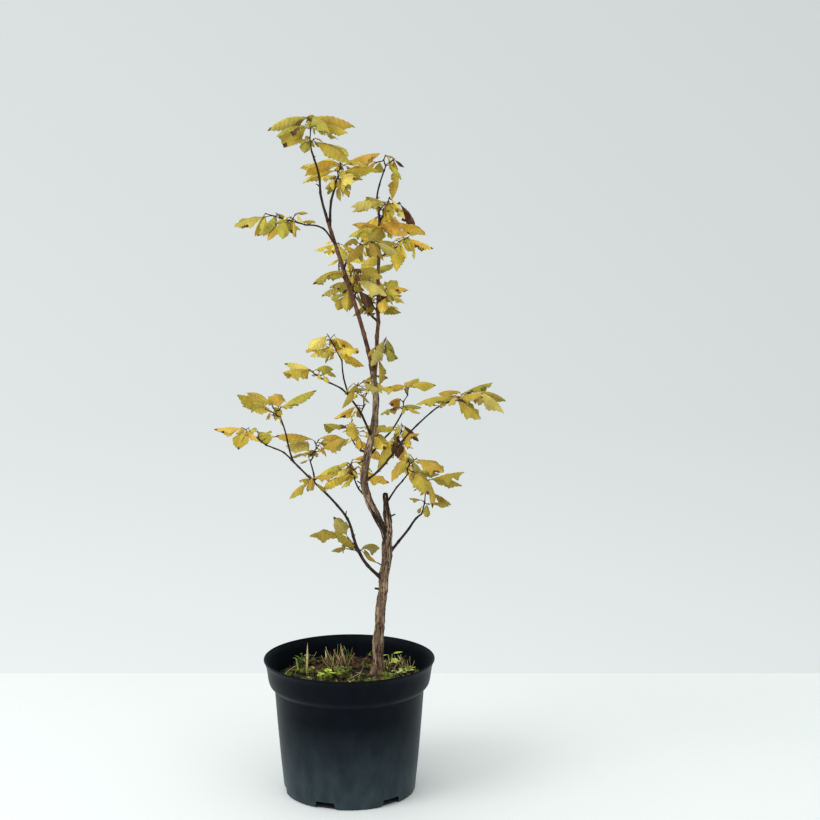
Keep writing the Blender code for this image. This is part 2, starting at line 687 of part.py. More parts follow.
def build_limbs(curves, collection, cutters, carrier):
    for i, limb in enumerate(LIMBS):
        finish = "grey_bark" if limb.name in THICK_LIMBS else "young_bark"
        obj = place(limb.name, limb_mesh(limb, curves[limb.name]), finish, collection, carrier)
        if limb.parent:
            for other in neighbours_at_root(limb.parent, limb.at, LIMBS[:i]):
                cut_clear(obj, other, curves, cutters)
        obj.data.shade_smooth()
        obj.data.set_sharp_from_angle(angle=math.radians(50))


# The sprays


def tube_mesh(points, radii, twist, name):
    """A closed three-sided tube along a line of points."""
    bm = bmesh.new()
    points = [Vector(point) for point in points]
    ways = [(b - a).normalized() for a, b in zip(points, points[1:])]
    turn = Vector((0, 0, 1)).rotation_difference(ways[0])
    rings = []
    for i, (point, radius) in enumerate(zip(points, radii)):
        if 0 < i < len(ways):
            turn = ways[i - 1].rotation_difference(ways[i]) @ turn
        angles = [twist + math.tau * k / 3 for k in range(3)]
        corners = [Vector((radius * math.cos(angle), radius * math.sin(angle), 0)) for angle in angles]
        rings.append([bm.verts.new((point + turn @ corner) * MM) for corner in corners])
    bm.faces.new(rings[0])
    bm.faces.new(rings[-1])
    for ring, following in zip(rings, rings[1:]):
        for k in range(3):
            bm.faces.new((ring[k], ring[k - 1], following[k - 1], following[k]))
    bmesh.ops.triangulate(bm, faces=bm.faces)
    return mesh_from(bm, name)


def bud_mesh(hub, twist):
    """The small swelling of a twig that leaf stalks spring from."""
    bm = bmesh.new()
    at = Matrix.Translation(Vector(hub) * MM) @ Matrix.Rotation(twist, 4, Vector((1, 2, 3)))
    bmesh.ops.create_uvsphere(bm, u_segments=4, v_segments=2, radius=BUD_RADIUS * MM, matrix=at)
    return mesh_from(bm, "bud")


def leaf_mesh(leaf, thickness):
    """A closed leaf, lofted through four-cornered sections from inside its bud to the tip."""
    left, mid, right = blade(leaf)
    points, across, up = midrib(leaf, LEAF_STEPS)
    thick = up * thickness / 2
    stalk = across[0] * STALK_HALF_WIDTH
    root = points[0] + unit(points[1] - points[0]) * STALK_START
    sections = [(root + stalk, root + thick[0], root - stalk, root - thick[0])]
    sections += [(left[k], mid[k] + thick[k], right[k], mid[k] - thick[k]) for k in LEAF_SECTIONS]
    bm = bmesh.new()
    rings = [[bm.verts.new(Vector(corner) * MM) for corner in section] for section in sections]
    tip = bm.verts.new(Vector(points[-1]) * MM)
    bm.faces.new(rings[0])
    for ring, following in zip(rings, rings[1:]):
        for k in range(4):
            bm.faces.new((ring[k], ring[k - 1], following[k - 1], following[k]))
    for k in range(4):
        bm.faces.new((rings[-1][k], rings[-1][k - 1], tip))
    bmesh.ops.triangulate(bm, faces=bm.faces)
    return mesh_from(bm, "leaf")


def joined_mesh(spray, growth, attempt, collection):
    """The mesh of a whole spray: one union of its twigs, buds and leaves."""
    twist = attempt * TWIST_STEP
    thickness = LEAF_THICKNESS + attempt * THICKNESS_STEP
    shapes = bpy.data.collections.new(spray.name + "_shapes")
    bpy.context.scene.collection.children.link(shapes)
    knots = [growth.stem[0][0]] + [stretch[1] for stretch in growth.stem]
    radii = [growth.stem[0][2]] + [stretch[3] for stretch in growth.stem]
    stem = place("stem", tube_mesh(knots, radii, twist, spray.name), "yellow_leaf", collection)
    for start, end, _, radius in growth.shoots:
        shoot = tube_mesh((start, end), (SHOOT_START_RADIUS, radius), twist, "shoot")
        place("shoot", shoot, "yellow_leaf", shapes)
    hubs = {tuple(leaf.base) for leaf in growth.leaves}
    for hub in sorted(hubs):
        place("bud", bud_mesh(hub, twist), "yellow_leaf", shapes)
    for leaf in growth.leaves:
        place("leaf", leaf_mesh(leaf, thickness), "yellow_leaf", shapes)
    join = stem.modifiers.new("join", "BOOLEAN")
    join.operation = "UNION"
    join.operand_type = "COLLECTION"
    join.collection = shapes
    apply_modifiers(stem)
    mesh = stem.data
    discard([stem, *shapes.objects])
    bpy.data.collections.remove(shapes)
    keep_one_body(mesh)
    thin_out(mesh)
    return mesh


def build_spray(spray, growth, curves, collection, cutters, carrier):
    for attempt in range(ATTEMPTS):
        mesh = joined_mesh(spray, growth, attempt, collection)
        obj = place(spray.name, mesh, "yellow_leaf", collection, carrier)
        for limb in neighbours_at_root(spray.limb, spray.at, LIMBS):
            cut_clear(obj, limb, curves, cutters)
        if is_sound(obj.data):
            return
        if attempt < ATTEMPTS - 1:
            discard([obj])


def build_sprays(curves, collection, cutters, carrier):
    limbs = limb_clouds(curves)
    others = []
    for spray in SPRAYS:
        root = point_on(curves[spray.limb], spray.at)
        growth, taken = kept_growth(spray, root, limbs, others)
        others += taken
        build_spray(spray, growth, curves, collection, cutters, carrier)


def main():
    for obj in list(bpy.data.objects):
        bpy.data.objects.remove(obj)
    collection = bpy.data.collections.new("young_beech")
    cutters = bpy.data.collections.new("cutters")
    bpy.context.scene.collection.children.link(collection)
    bpy.context.scene.collection.children.link(cutters)
    carrier = bpy.data.objects.new("young_beech", None)
    collection.objects.link(carrier)
    curves = limb_curves()
    build_pot(collection, cutters, carrier)
    build_root_ball(collection, carrier)
    build_limbs(curves, collection, cutters, carrier)
    build_sprays(curves, collection, cutters, carrier)


main()
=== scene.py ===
"""The looks of a young cut-leaved European beech in autumn leaf, standing in a round nursery pot.

Limbs, twigs and leaves grow by the same rule and from the same named sizes as the plant's solids. The sizes
below are in millimetres and the meshes are in metres.
"""

import json
import math
import random
from collections import namedtuple

import bmesh
import bpy
import numpy as np
from mathutils import Matrix, Vector, noise

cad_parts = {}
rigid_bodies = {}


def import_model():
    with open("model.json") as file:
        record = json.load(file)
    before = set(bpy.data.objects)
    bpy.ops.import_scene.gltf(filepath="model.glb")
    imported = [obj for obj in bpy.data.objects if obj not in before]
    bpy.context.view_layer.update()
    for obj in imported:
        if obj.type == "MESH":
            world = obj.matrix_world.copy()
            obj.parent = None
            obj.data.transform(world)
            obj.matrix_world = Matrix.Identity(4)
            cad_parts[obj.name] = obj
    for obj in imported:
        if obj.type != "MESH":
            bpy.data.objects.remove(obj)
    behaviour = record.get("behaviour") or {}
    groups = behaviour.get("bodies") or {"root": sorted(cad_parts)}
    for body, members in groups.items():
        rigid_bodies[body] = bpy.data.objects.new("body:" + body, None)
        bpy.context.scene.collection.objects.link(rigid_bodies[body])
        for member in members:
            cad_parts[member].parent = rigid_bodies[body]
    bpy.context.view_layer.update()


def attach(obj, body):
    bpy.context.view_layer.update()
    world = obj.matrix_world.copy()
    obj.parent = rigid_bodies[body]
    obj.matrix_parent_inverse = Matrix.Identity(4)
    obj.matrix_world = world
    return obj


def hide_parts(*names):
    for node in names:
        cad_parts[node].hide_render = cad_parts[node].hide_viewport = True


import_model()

MM = 0.001

# The photograph's frame and the camera that it was seen through
PHOTO_SIDE = 820
FOCAL_PIXELS = 1800
SENSOR_WIDTH = 36.0
CAMERA_AT = (78.1, -2246.0, 828.5)
CAMERA_PITCH = math.radians(8.41)

# The pot: a thin cup with a flared lip, a deep band below it and a shoulder down to the tapered body
POT_HEIGHT = 175.0
LIP_RADIUS = 110.0
LIP_DEPTH = 16.5
BAND_TOP_RADIUS = 105.6
BAND_FOOT_RADIUS = 103.2
BAND_DEPTH = 31.5
SHOULDER_DEPTH = 38.5
BODY_TOP_RADIUS = 96.4
BODY_FOOT_RADIUS = 84.8
FOOT_ROUNDING = 3.0
POT_WALL = 1.6
POT_SIDES = 160
NOTCHES = 6
NOTCH_WIDTH = 28.0
NOTCH_HEIGHT = 9.5
NOTCH_DEPTH = 12.0
NOTCH_TAPER = 0.86
FIRST_NOTCH = math.radians(-110)
SOIL_HEIGHT = 150.0
SOIL_RADIUS = 96.5

# Limbs: round tubes on curves, with the bark's relief
CLEAR = 0.3
TRUNK_FOOT = (36.0, 8.0, SOIL_HEIGHT + CLEAR)
FLARE = 3.4
FLARE_REACH = 9.0
THICK_LIMBS = ("trunk", "main_stem")
SEGMENTS = {"thick": (40, 1.1), "thin": (12, 2.4)}  # sides, and the distance between rings

# Sprays of foliage: a zigzag stem with a short shoot at each turn, and leaves that fan out from the shoots
STEM_RADIUS = 1.1
TWIG_RADIUS = 0.8
ZIGZAG = 1.6
SHOOT_TURN = (0.5, 1.3)
SHOOT_LENGTH = (3.0, 14.0)
SHOOT_CLIMB = (-0.3, 0.7)
OUTWARD_STRAY = 1.2
FAN_STEP = 1.15
FAN_STRAY = 0.45

# Leaves: a drooping midrib with the two halves of the blade folded down from it
LENGTH_SPREAD = (0.6, 1.2)
WIDTH_SHARE = (0.40, 0.56)
LIFT_STRAY = 0.4
DROOP = (0.4, 1.5)
SWEEP = 0.5
ROLL = 0.7
FOLD = (0.3, 1.0)
LEAF_STEPS = 8
LEAF_PROFILE = (0.0, 0.10, 0.60, 0.95, 1.0, 0.90, 0.67, 0.34, 0.0)

# The room that a spray keeps to limbs, to other sprays and between its own leaves
SPACE = 1.35
LIMB_ROOM = 2.5
SPRAY_ROOM = 4.0
OWN_ROOM = 1.8
SHOOT_LIMB_ROOM = 1.5
SHOOT_SPRAY_ROOM = 2.5
CLOUD_STEP = 3.0
CLOUD_ROWS = 12
CLOUD_COLUMNS = 7
CLOUD_STRETCH = 8

Limb = namedtuple("Limb", "name parent at reach bows radii")
LIMBS = (
    Limb("trunk", None, 0, (10, -2, 237),
         ((-1, 0, 21), (0, 0, -9), (14, 0, 8)), (7.4, 6.6, 6, 6.2, 6.4, 5.2, 3.3)),
    Limb("main_stem", "trunk", 0.74, (-18, -7, 218),
         ((-18, -2, 23), (-62, 2, -23), (19, -2, 18), (-1, 2, -5)), (4.2, 5.2, 4.6, 4.3, 4.2, 3.6)),
    Limb("leader_left", "main_stem", 1, (-54, -18, 187), ((6, 1, 1), (0, 1, 2)), (2.8, 2.5, 2.2)),
    Limb("leader_middle", "main_stem", 0.93, (7, 18, 202), ((5, -1, -2), (0, -1, 0)), (2.7, 2.3, 1.8)),
    Limb("tip_left", "leader_left", 1, (-19, -10, 86), ((-6, 1, -1), (6, 1, 1)), (1.7, 1.2)),
    Limb("tip_right", "leader_left", 0.97, (8, 22, 56), ((-4, -1, 1),), (1.7, 1.3)),
    Limb("upper_left", "leader_left", 0.85, (-34, -31, 25), ((3, -7, 7), (9, 5, 8)), (1.2, 1)),
    Limb("upper_right", "leader_left", 0.67, (21, -36, 34), ((-6, -4, 4), (-3, 1, 3)), (1.3, 0.9)),
    Limb("inner_left", "leader_left", 0.53, (-16, 31, 23), ((1, -3, 1),), (1.2, 0.9)),
    Limb("middle_tip", "leader_middle", 1, (6, 8, 63), ((-5, 0, 7), (-10, -2, -6)), (1.4, 0.9)),
    Limb("middle_left", "leader_middle", 0.39, (-26, 17, 26), ((-1, 6, -4),), (1.4, 0.9)),
    Limb("middle_back", "leader_middle", 0.54, (-17, 53, 19), ((0, 5, 0),), (1.4, 0.9)),
    Limb("middle_right", "leader_middle", 0.78, (23, 30, 12), ((1, 3, 0),), (1.2, 0.9)),
    Limb("low_left", "trunk", 0.51, (-111, -47, 162),
         ((-36, 2, 11), (36, -3, 2), (35, 2, -29)), (2.2, 1.2)),
    Limb("low_left_side", "low_left", 0.89, (-6, 23, 22), ((3, -10, -3),), (1.2, 0.9)),
    Limb("low_left_up", "low_left", 1, (-12, -44, 59), ((-2, 2, -7), (3, 0, 2)), (1.2, 0.9)),
    Limb("low_left_far", "low_left", 0.98, (-41, 25, 22), ((2, -6, 10),), (1.1, 0.9)),
    Limb("low_right", "trunk", 0.67, (45, 37, 42), ((3, -4, -8), (-1, 3, 5)), (2, 1.2)),
    Limb("mid_right", "trunk", 0.95, (28, -48, 46), ((-1, 0, 1),), (1.3, 0.9)),
    Limb("far_right", "main_stem", 0.34, (91, -30, 98),
         ((12, -6, -5), (-11, 4, -1), (0, -2, 4)), (1.5, 1.3, 0.9)),
    Limb("right_upper", "main_stem", 0.48, (43, 55, 46), ((2, -4, 1), (3, 0, -3)), (1.5, 1)),
    Limb("left_mid", "main_stem", 0.61, (-61, -34, 78),
         ((11, -4, -6), (4, -1, 22), (16, 0, 3)), (1.7, 0.9)),
    Limb("left_mid_up", "left_mid", 0.6, (-10, 49, 38), ((-4, 3, 1),), (1.2, 0.9)),
    Limb("left_inner", "main_stem", 0.51, (-20, 39, 10), ((-4, 0, -4),), (1.4, 0.9)),
    Limb("left_low_inner", "main_stem", 0.21, (-20, 57, 17), ((-3, -2, -2),), (1.5, 0.9)),
)

Spray = namedtuple("Spray", "name limb at reach leaf_length lift clusters")
SPRAYS = (
    Spray("spray_crown_left", "tip_left", 1, (-3, -3, 40), 52, 0.11, ((2, 286), (5, 787), (5, 134))),
    Spray("spray_crown_right", "tip_right", 1, (5, 4, 20), 49, 0.44,
          ((2, 839), (3, 142), (4, 349), (6, 950))),
    Spray("spray_upper_left", "upper_left", 1, (-49, -2, 14), 37, -0.01,
          ((3, 991), (2, 656), (3, 722), (4, 891), (1, 629))),
    Spray("spray_upper_right", "upper_right", 1, (9, -10, 2), 43, 0.35, ((1, 973), (2, 742), (4, 38))),
    Spray("spray_leader_tip", "middle_tip", 1, (1, 37, 19), 48, -0.5, ((1, 183), (2, 109), (1, 440))),
    Spray("spray_leader_bud", "leader_middle", 0.99, (12, 15, 31), 52, -0.67,
          ((1, 818), (1, 661), (1, 226), (3, 847))),
    Spray("spray_leader_cross", "leader_middle", 0.94, (11, -12, 1), 51, 0.43,
          ((5, 526), (1, 854), (1, 616))),
    Spray("spray_right_high", "middle_right", 1, (5, 13, 7), 52, -0.13, ((3, 581), (4, 642))),
    Spray("spray_inner_high", "inner_left", 1, (0, 0, 35), 31, -0.31,
          ((1, 56), (3, 653), (1, 240), (1, 77), (5, 625))),
    Spray("spray_inner_mid", "leader_left", 0.56, (4, 4, 22), 47, 0.14, ((1, 111), (3, 611), (1, 603))),
    Spray("spray_middle_left", "middle_left", 1, (-8, -8, 20), 42, 0.12,
          ((3, 472), (1, 947), (1, 662), (3, 801), (1, 557))),
    Spray("spray_middle_back", "middle_back", 1, (5, 13, 7), 52, 0.32, ((3, 97), (1, 599), (1, 830))),
    Spray("spray_middle_low", "leader_middle", 0.4, (-8, 25, 26), 39, 0.22, ((1, 31), (4, 934), (1, 546))),
    Spray("spray_middle_side", "leader_middle", 0.46, (9, -10, 25), 49, 0.23, ((1, 770), (3, 702))),
    Spray("spray_fork", "leader_middle", 0.14, (12, -12, 30), 39, -0.42, ((1, 98), (1, 551), (3, 684))),
    Spray("spray_left_high", "left_mid_up", 1, (-17, 0, 32), 39, 0.15,
          ((3, 623), (3, 38), (2, 969), (4, 402), (1, 334))),
    Spray("spray_left_mid", "left_mid", 1, (-11, 6, 7), 38, 0.42, ((2, 747), (1, 913), (3, 403))),
    Spray("spray_left_twig", "left_mid", 0.34, (13, 35, 42), 34, -0.25,
          ((2, 236), (1, 301), (1, 481), (1, 562), (1, 706))),
    Spray("spray_left_fringe", "left_mid", 0.62, (13, -21, 16), 32, -0.18, ((1, 79), (1, 106), (2, 629))),
    Spray("spray_low_left_up", "low_left_up", 1, (-11, 17, 13), 48, 0.48,
          ((2, 80), (3, 878), (2, 740), (3, 563))),
    Spray("spray_low_left_far", "low_left_far", 1, (-28, 7, 20), 45, 0.14, ((2, 529), (1, 725), (4, 558))),
    Spray("spray_low_left_side", "low_left_side", 1, (10, 10, 26), 45, 0.37,
          ((2, 857), (2, 455), (1, 281), (3, 457), (1, 281))),
    Spray("spray_low_left_hang", "low_left", 0.89, (-4, -8, 1), 35, 0.17, ((3, 59), (1, 892))),
    Spray("spray_left_inner", "left_inner", 1, (-1, -8, 26), 44, 0.01,
          ((2, 271), (1, 995), (1, 891), (1, 604), (1, 551), (1, 666))),
    Spray("spray_left_low_inner", "left_low_inner", 1, (-6, 21, 16), 48, -0.03,
          ((1, 301), (4, 261), (1, 937), (2, 475), (2, 572))),
    Spray("spray_low_inner", "low_left", 0.12, (-24, 19, 30), 47, 0.64,
          ((3, 211), (1, 777), (1, 963), (2, 226))),
    Spray("spray_right_upper", "right_upper", 1, (10, 45, 30), 39, 0.3,
          ((3, 711), (1, 919), (2, 409), (4, 5))),
    Spray("spray_far_right", "far_right", 1, (42, 2, 19), 49, 0.21,
          ((1, 155), (2, 20), (5, 973), (3, 496), (1, 211), (1, 421))),
    Spray("spray_mid_right", "mid_right", 1, (0, -7, 19), 47, 0.05, ((2, 831), (1, 758), (6, 89))),
    Spray("spray_right_inner", "far_right", 0.42, (10, 22, 30), 48, -0.53,
          ((1, 366), (2, 436), (1, 635), (2, 79))),
    Spray("spray_low_right", "low_right", 1, (9, 6, 43), 45, 0.11, ((3, 250), (1, 866), (3, 909))),
    Spray("spray_crown_low", "tip_right", 0.8, (14, 12, 18), 33, -0.4,
          ((1, 83), (2, 744), (1, 963), (1, 754))),
    Spray("spray_leader_side", "middle_tip", 0.12, (9, -55, 15), 43, 0.07, ((1, 58), (2, 913))),
)

# Finer twigs with one small leaf each: how many are tried on a spray and the seed they grow from
FINE_TWIG_LENGTH = (3.0, 8.0)
FINE_LEAF_LENGTH = (13.0, 28.0)
FINE_ROOM = 1.0
FINE_TWIGS = {
    "spray_crown_left": (14, 650), "spray_upper_left": (10, 823), "spray_leader_tip": (14, 793),
    "spray_right_high": (14, 220), "spray_middle_left": (14, 161), "spray_left_mid": (4, 928),
    "spray_low_left_far": (6, 526), "spray_left_inner": (10, 8), "spray_low_inner": (10, 75),
    "spray_far_right": (4, 795), "spray_crown_right": (14, 799), "spray_inner_high": (8, 950),
    "spray_fork": (10, 20), "spray_low_left_up": (6, 152), "spray_low_left_hang": (14, 493),
    "spray_mid_right": (14, 165), "spray_upper_right": (14, 502), "spray_middle_low": (14, 626),
    "spray_left_twig": (8, 13), "spray_left_low_inner": (14, 998), "spray_leader_bud": (14, 262),
    "spray_inner_mid": (14, 717), "spray_left_high": (14, 4), "spray_low_left_side": (14, 334),
    "spray_low_right": (10, 667), "spray_leader_cross": (14, 96), "spray_middle_side": (14, 244),
    "spray_left_fringe": (8, 917), "spray_middle_back": (14, 955), "spray_right_upper": (8, 428),
    "spray_crown_low": (14, 679), "spray_right_inner": (14, 307), "spray_leader_side": (14, 16),
}

Leaf = namedtuple("Leaf", "base azimuth climb droop sweep roll fold length width tone")
Growth = namedtuple("Growth", "stem shoots leaves")
Cloud = namedtuple("Cloud", "points radius middle span")

# Directions and curves


def unit(vector):
    return vector / np.linalg.norm(vector)


def heading(azimuth, climb):
    """Unit directions from angles round +Z and angles above level."""
    flat = np.cos(climb)
    return np.stack((flat * np.cos(azimuth), flat * np.sin(azimuth), np.sin(climb)), -1)


def point_on(controls, share):
    """The point at a share of the Bezier curve with these control points."""
    points = [np.asarray(point, float) for point in controls]
    while len(points) > 1:
        points = [a + (b - a) * share for a, b in zip(points, points[1:])]
    return points[0]


def limb_curves():
    """Each limb's control points, by its name."""
    curves = {}
    for limb in LIMBS:
        root = np.array(TRUNK_FOOT)
        if limb.parent:
            root = point_on(curves[limb.parent], limb.at)
        reach = np.array(limb.reach, float)
        parts = len(limb.bows) + 1
        inner = [root + reach * (i + 1) / parts + np.array(bow, float) for i, bow in enumerate(limb.bows)]
        curves[limb.name] = [root, *inner, root + reach]
    return curves


def limb_radius(limb, share):
    even = np.linspace(0, 1, len(limb.radii))
    return float(np.interp(share, even, limb.radii))


# The growth rule of a spray


def grow(spray, root):
    """Clusters of a spray, each with its twigs (start, end, start radius, end radius) and its leaves."""
    reach = np.array(spray.reach, float)
    along = unit(reach)
    axis = math.atan2(along[1], along[0])
    side = np.array((-math.sin(axis), math.cos(axis), 0.0))
    count = len(spray.clusters)
    knots, radii = [], []
    for i in range(count + 1):
        sway = ZIGZAG * (-1) ** i if 0 < i < count else 0.0
        knots.append(root + reach * i / count + side * sway)
        radii.append(STEM_RADIUS + (TWIG_RADIUS - STEM_RADIUS) * i / count)
    clusters = []
    for i, (size, seed) in enumerate(spray.clusters):
        rng = random.Random(seed)
        hub = knots[i + 1]
        twigs = [(knots[i], hub, radii[i], radii[i + 1])]
        outward = axis + rng.uniform(-OUTWARD_STRAY, OUTWARD_STRAY)
        if i < count - 1:
            outward = axis + rng.choice((-1, 1)) * rng.uniform(*SHOOT_TURN)
            end = hub + heading(outward, rng.uniform(*SHOOT_CLIMB)) * rng.uniform(*SHOOT_LENGTH)
            twigs.append((hub, end, radii[i + 1], TWIG_RADIUS))
            hub = end
        leaves = [grow_leaf(rng, spray, hub, outward + (j - (size - 1) / 2) * FAN_STEP) for j in range(size)]
        clusters.append((twigs, leaves))
    return clusters


def grow_leaf(rng, spray, hub, azimuth):
    azimuth += rng.uniform(-FAN_STRAY, FAN_STRAY)
    length = spray.leaf_length * rng.uniform(*LENGTH_SPREAD)
    climb = spray.lift + rng.uniform(-LIFT_STRAY, LIFT_STRAY)
    droop = rng.uniform(*DROOP)
    sweep = rng.uniform(-SWEEP, SWEEP)
    roll = rng.uniform(-ROLL, ROLL)
    fold = rng.uniform(*FOLD)
    width = length * rng.uniform(*WIDTH_SHARE)
    return Leaf(hub, azimuth, climb, droop, sweep, roll, fold, length, width, rng.random())


def midrib(leaf, steps):
    """Points along a leaf's midrib, with the blade's across and up directions there."""
    between = (np.arange(steps) + 0.5) / steps
    strides = heading(leaf.azimuth + leaf.sweep * between, leaf.climb - leaf.droop * between)
    points = leaf.base + np.vstack((np.zeros(3), np.cumsum(strides, 0))) * leaf.length / steps
    at = np.arange(steps + 1) / steps
    azimuth = leaf.azimuth + leaf.sweep * at
    flat = np.stack((-np.sin(azimuth), np.cos(azimuth), 0 * at), -1)
    rise = heading(azimuth, leaf.climb - leaf.droop * at + math.pi / 2)
    across = flat * math.cos(leaf.roll) - rise * math.sin(leaf.roll)
    up = rise * math.cos(leaf.roll) + flat * math.sin(leaf.roll)
    return points, across, up


def blade(leaf):
    """The left edge, the midrib and the right edge of a leaf's blade."""
    points, across, up = midrib(leaf, LEAF_STEPS)
    half = (leaf.width / 2 * np.array(LEAF_PROFILE))[:, None]
    out = across * half * math.cos(leaf.fold)
    drop = up * half * math.sin(leaf.fold)
    return points + out - drop, points, points - out - drop


# What a spray keeps clear of, as clouds of points


def cloud_of(points, radius):
    middle = points.mean(0)
    span = np.linalg.norm(points - middle, axis=1).max() + float(np.max(radius))
    return Cloud(points, radius, middle, span)


def limb_clouds(curves):
    clouds = []
    for limb in LIMBS:
        count = max(6, int(np.linalg.norm(limb.reach) / CLOUD_STEP))
        shares = np.linspace(0, 1, count)
        points = np.array([point_on(curves[limb.name], share) for share in shares])
        radii = np.array([limb_radius(limb, share) for share in shares])
        for first in range(0, count, CLOUD_STRETCH):
            stretch = slice(first, first + CLOUD_STRETCH + 1)
            clouds.append(cloud_of(points[stretch], radii[stretch]))
    return clouds


def twig_cloud(twig):
    start, end, radius, _ = twig
    count = max(2, int(np.linalg.norm(end - start) / CLOUD_STEP) + 1)
    shares = np.linspace(0, 1, count)[:, None]
    return cloud_of(start + (end - start) * shares, radius)


def leaf_cloud(leaf):
    """Points all over a leaf's blade, from past its stalk to its tip."""
    rows = np.linspace(2, LEAF_STEPS, CLOUD_ROWS + 1)
    steps = np.arange(LEAF_STEPS + 1)
    left, mid, right = (
        np.stack([np.interp(rows, steps, edge[:, axis]) for axis in range(3)], 1) for edge in blade(leaf)
    )
    columns = []
    for across in np.linspace(-1, 1, CLOUD_COLUMNS):
        edge = left if across < 0 else right
        columns.append(mid + (edge - mid) * abs(across))
    return cloud_of(np.concatenate(columns), 0.0)


def clear_of(points, clouds, room):
    middle = points.mean(0)
    span = np.linalg.norm(points - middle, axis=1).max()
    for cloud in clouds:
        if np.linalg.norm(cloud.middle - middle) > span + cloud.span + room:
            continue
        gaps = np.linalg.norm(points[:, None] - cloud.points, axis=2) - cloud.radius
        if gaps.min() < room:
            return False
    return True


def kept_growth(spray, root, limbs, others):
    """The spray's twigs and leaves that stay in its space and touch no limb, other spray or other leaf."""
    middle = root + np.array(spray.reach) / 2
    space = np.linalg.norm(spray.reach) / 2 + SPACE * spray.leaf_length
    stem, shoots, leaves, taken = [], [], [], []
    for new_twigs, new_leaves in grow(spray, root):
        stem.append(new_twigs[0])
        ways = [twig_cloud(twig).points for twig in new_twigs[1:]]
        near_limb = any(not clear_of(points, limbs, SHOOT_LIMB_ROOM) for points in ways)
        if near_limb or any(not clear_of(points, others, SHOOT_SPRAY_ROOM) for points in ways):
            continue
        shoots += new_twigs[1:]
        for leaf in new_leaves:
            cloud = leaf_cloud(leaf)
            inside = np.linalg.norm(cloud.points - middle, axis=1).max() <= space
            if (
                inside
                and clear_of(cloud.points, limbs, LIMB_ROOM)
                and clear_of(cloud.points, others, SPRAY_ROOM)
                and clear_of(cloud.points, taken, OWN_ROOM)
            ):
                taken.append(cloud)
                leaves.append(leaf)
    return Growth(stem, shoots, leaves), taken + [twig_cloud(twig) for twig in stem + shoots]

# Finer twigs


def fine_growth(spray, root, growth, limbs, others):
    """Side twigs (start, end), each with one small leaf, where a spray has room for them."""
    tries, seed = FINE_TWIGS[spray.name]
    rng = random.Random(seed)
    middle = root + np.array(spray.reach) / 2
    space = np.linalg.norm(spray.reach) / 2 + SPACE * spray.leaf_length
    lines = [(start, end) for start, end, *_ in growth.stem + growth.shoots]
    twigs, leaves, taken = [], [], []
    for _ in range(tries):
        start, end = rng.choice(lines)
        start = start + (end - start) * rng.uniform(0.3, 1.0)
        azimuth = rng.uniform(0, math.tau)
        end = start + heading(azimuth, rng.uniform(-0.5, 1.0)) * rng.uniform(*FINE_TWIG_LENGTH)
        length = rng.uniform(*FINE_LEAF_LENGTH)
        leaf = Leaf(end, azimuth + rng.uniform(-0.7, 0.7), rng.uniform(-0.6, 0.7), rng.uniform(*DROOP),
                    rng.uniform(-SWEEP, SWEEP), rng.uniform(-ROLL, ROLL), rng.uniform(*FOLD), length,
                    length * rng.uniform(*WIDTH_SHARE), rng.random())
        cloud = leaf_cloud(leaf)
        if (
            np.linalg.norm(cloud.points - middle, axis=1).max() <= space
            and clear_of(cloud.points, limbs, FINE_ROOM)
            and clear_of(cloud.points, others + taken, FINE_ROOM)
        ):
            twigs.append((start, end))
            leaves.append(leaf)
            taken.append(cloud)
    return twigs, leaves, taken


# Materials

DUST_AND_REFLECTION_RUNS = 0.5  # how far the pattern of the dust and painted reflection is drawn out upwards: less than 1 is longer


def colour_of(red, green, blue):
    """A base colour from its display values, 0 to 255."""
    return tuple(((v / 255 + 0.055) / 1.055) ** 2.4 if v > 10 else v / 255 / 12.92 for v in (red, green, blue))


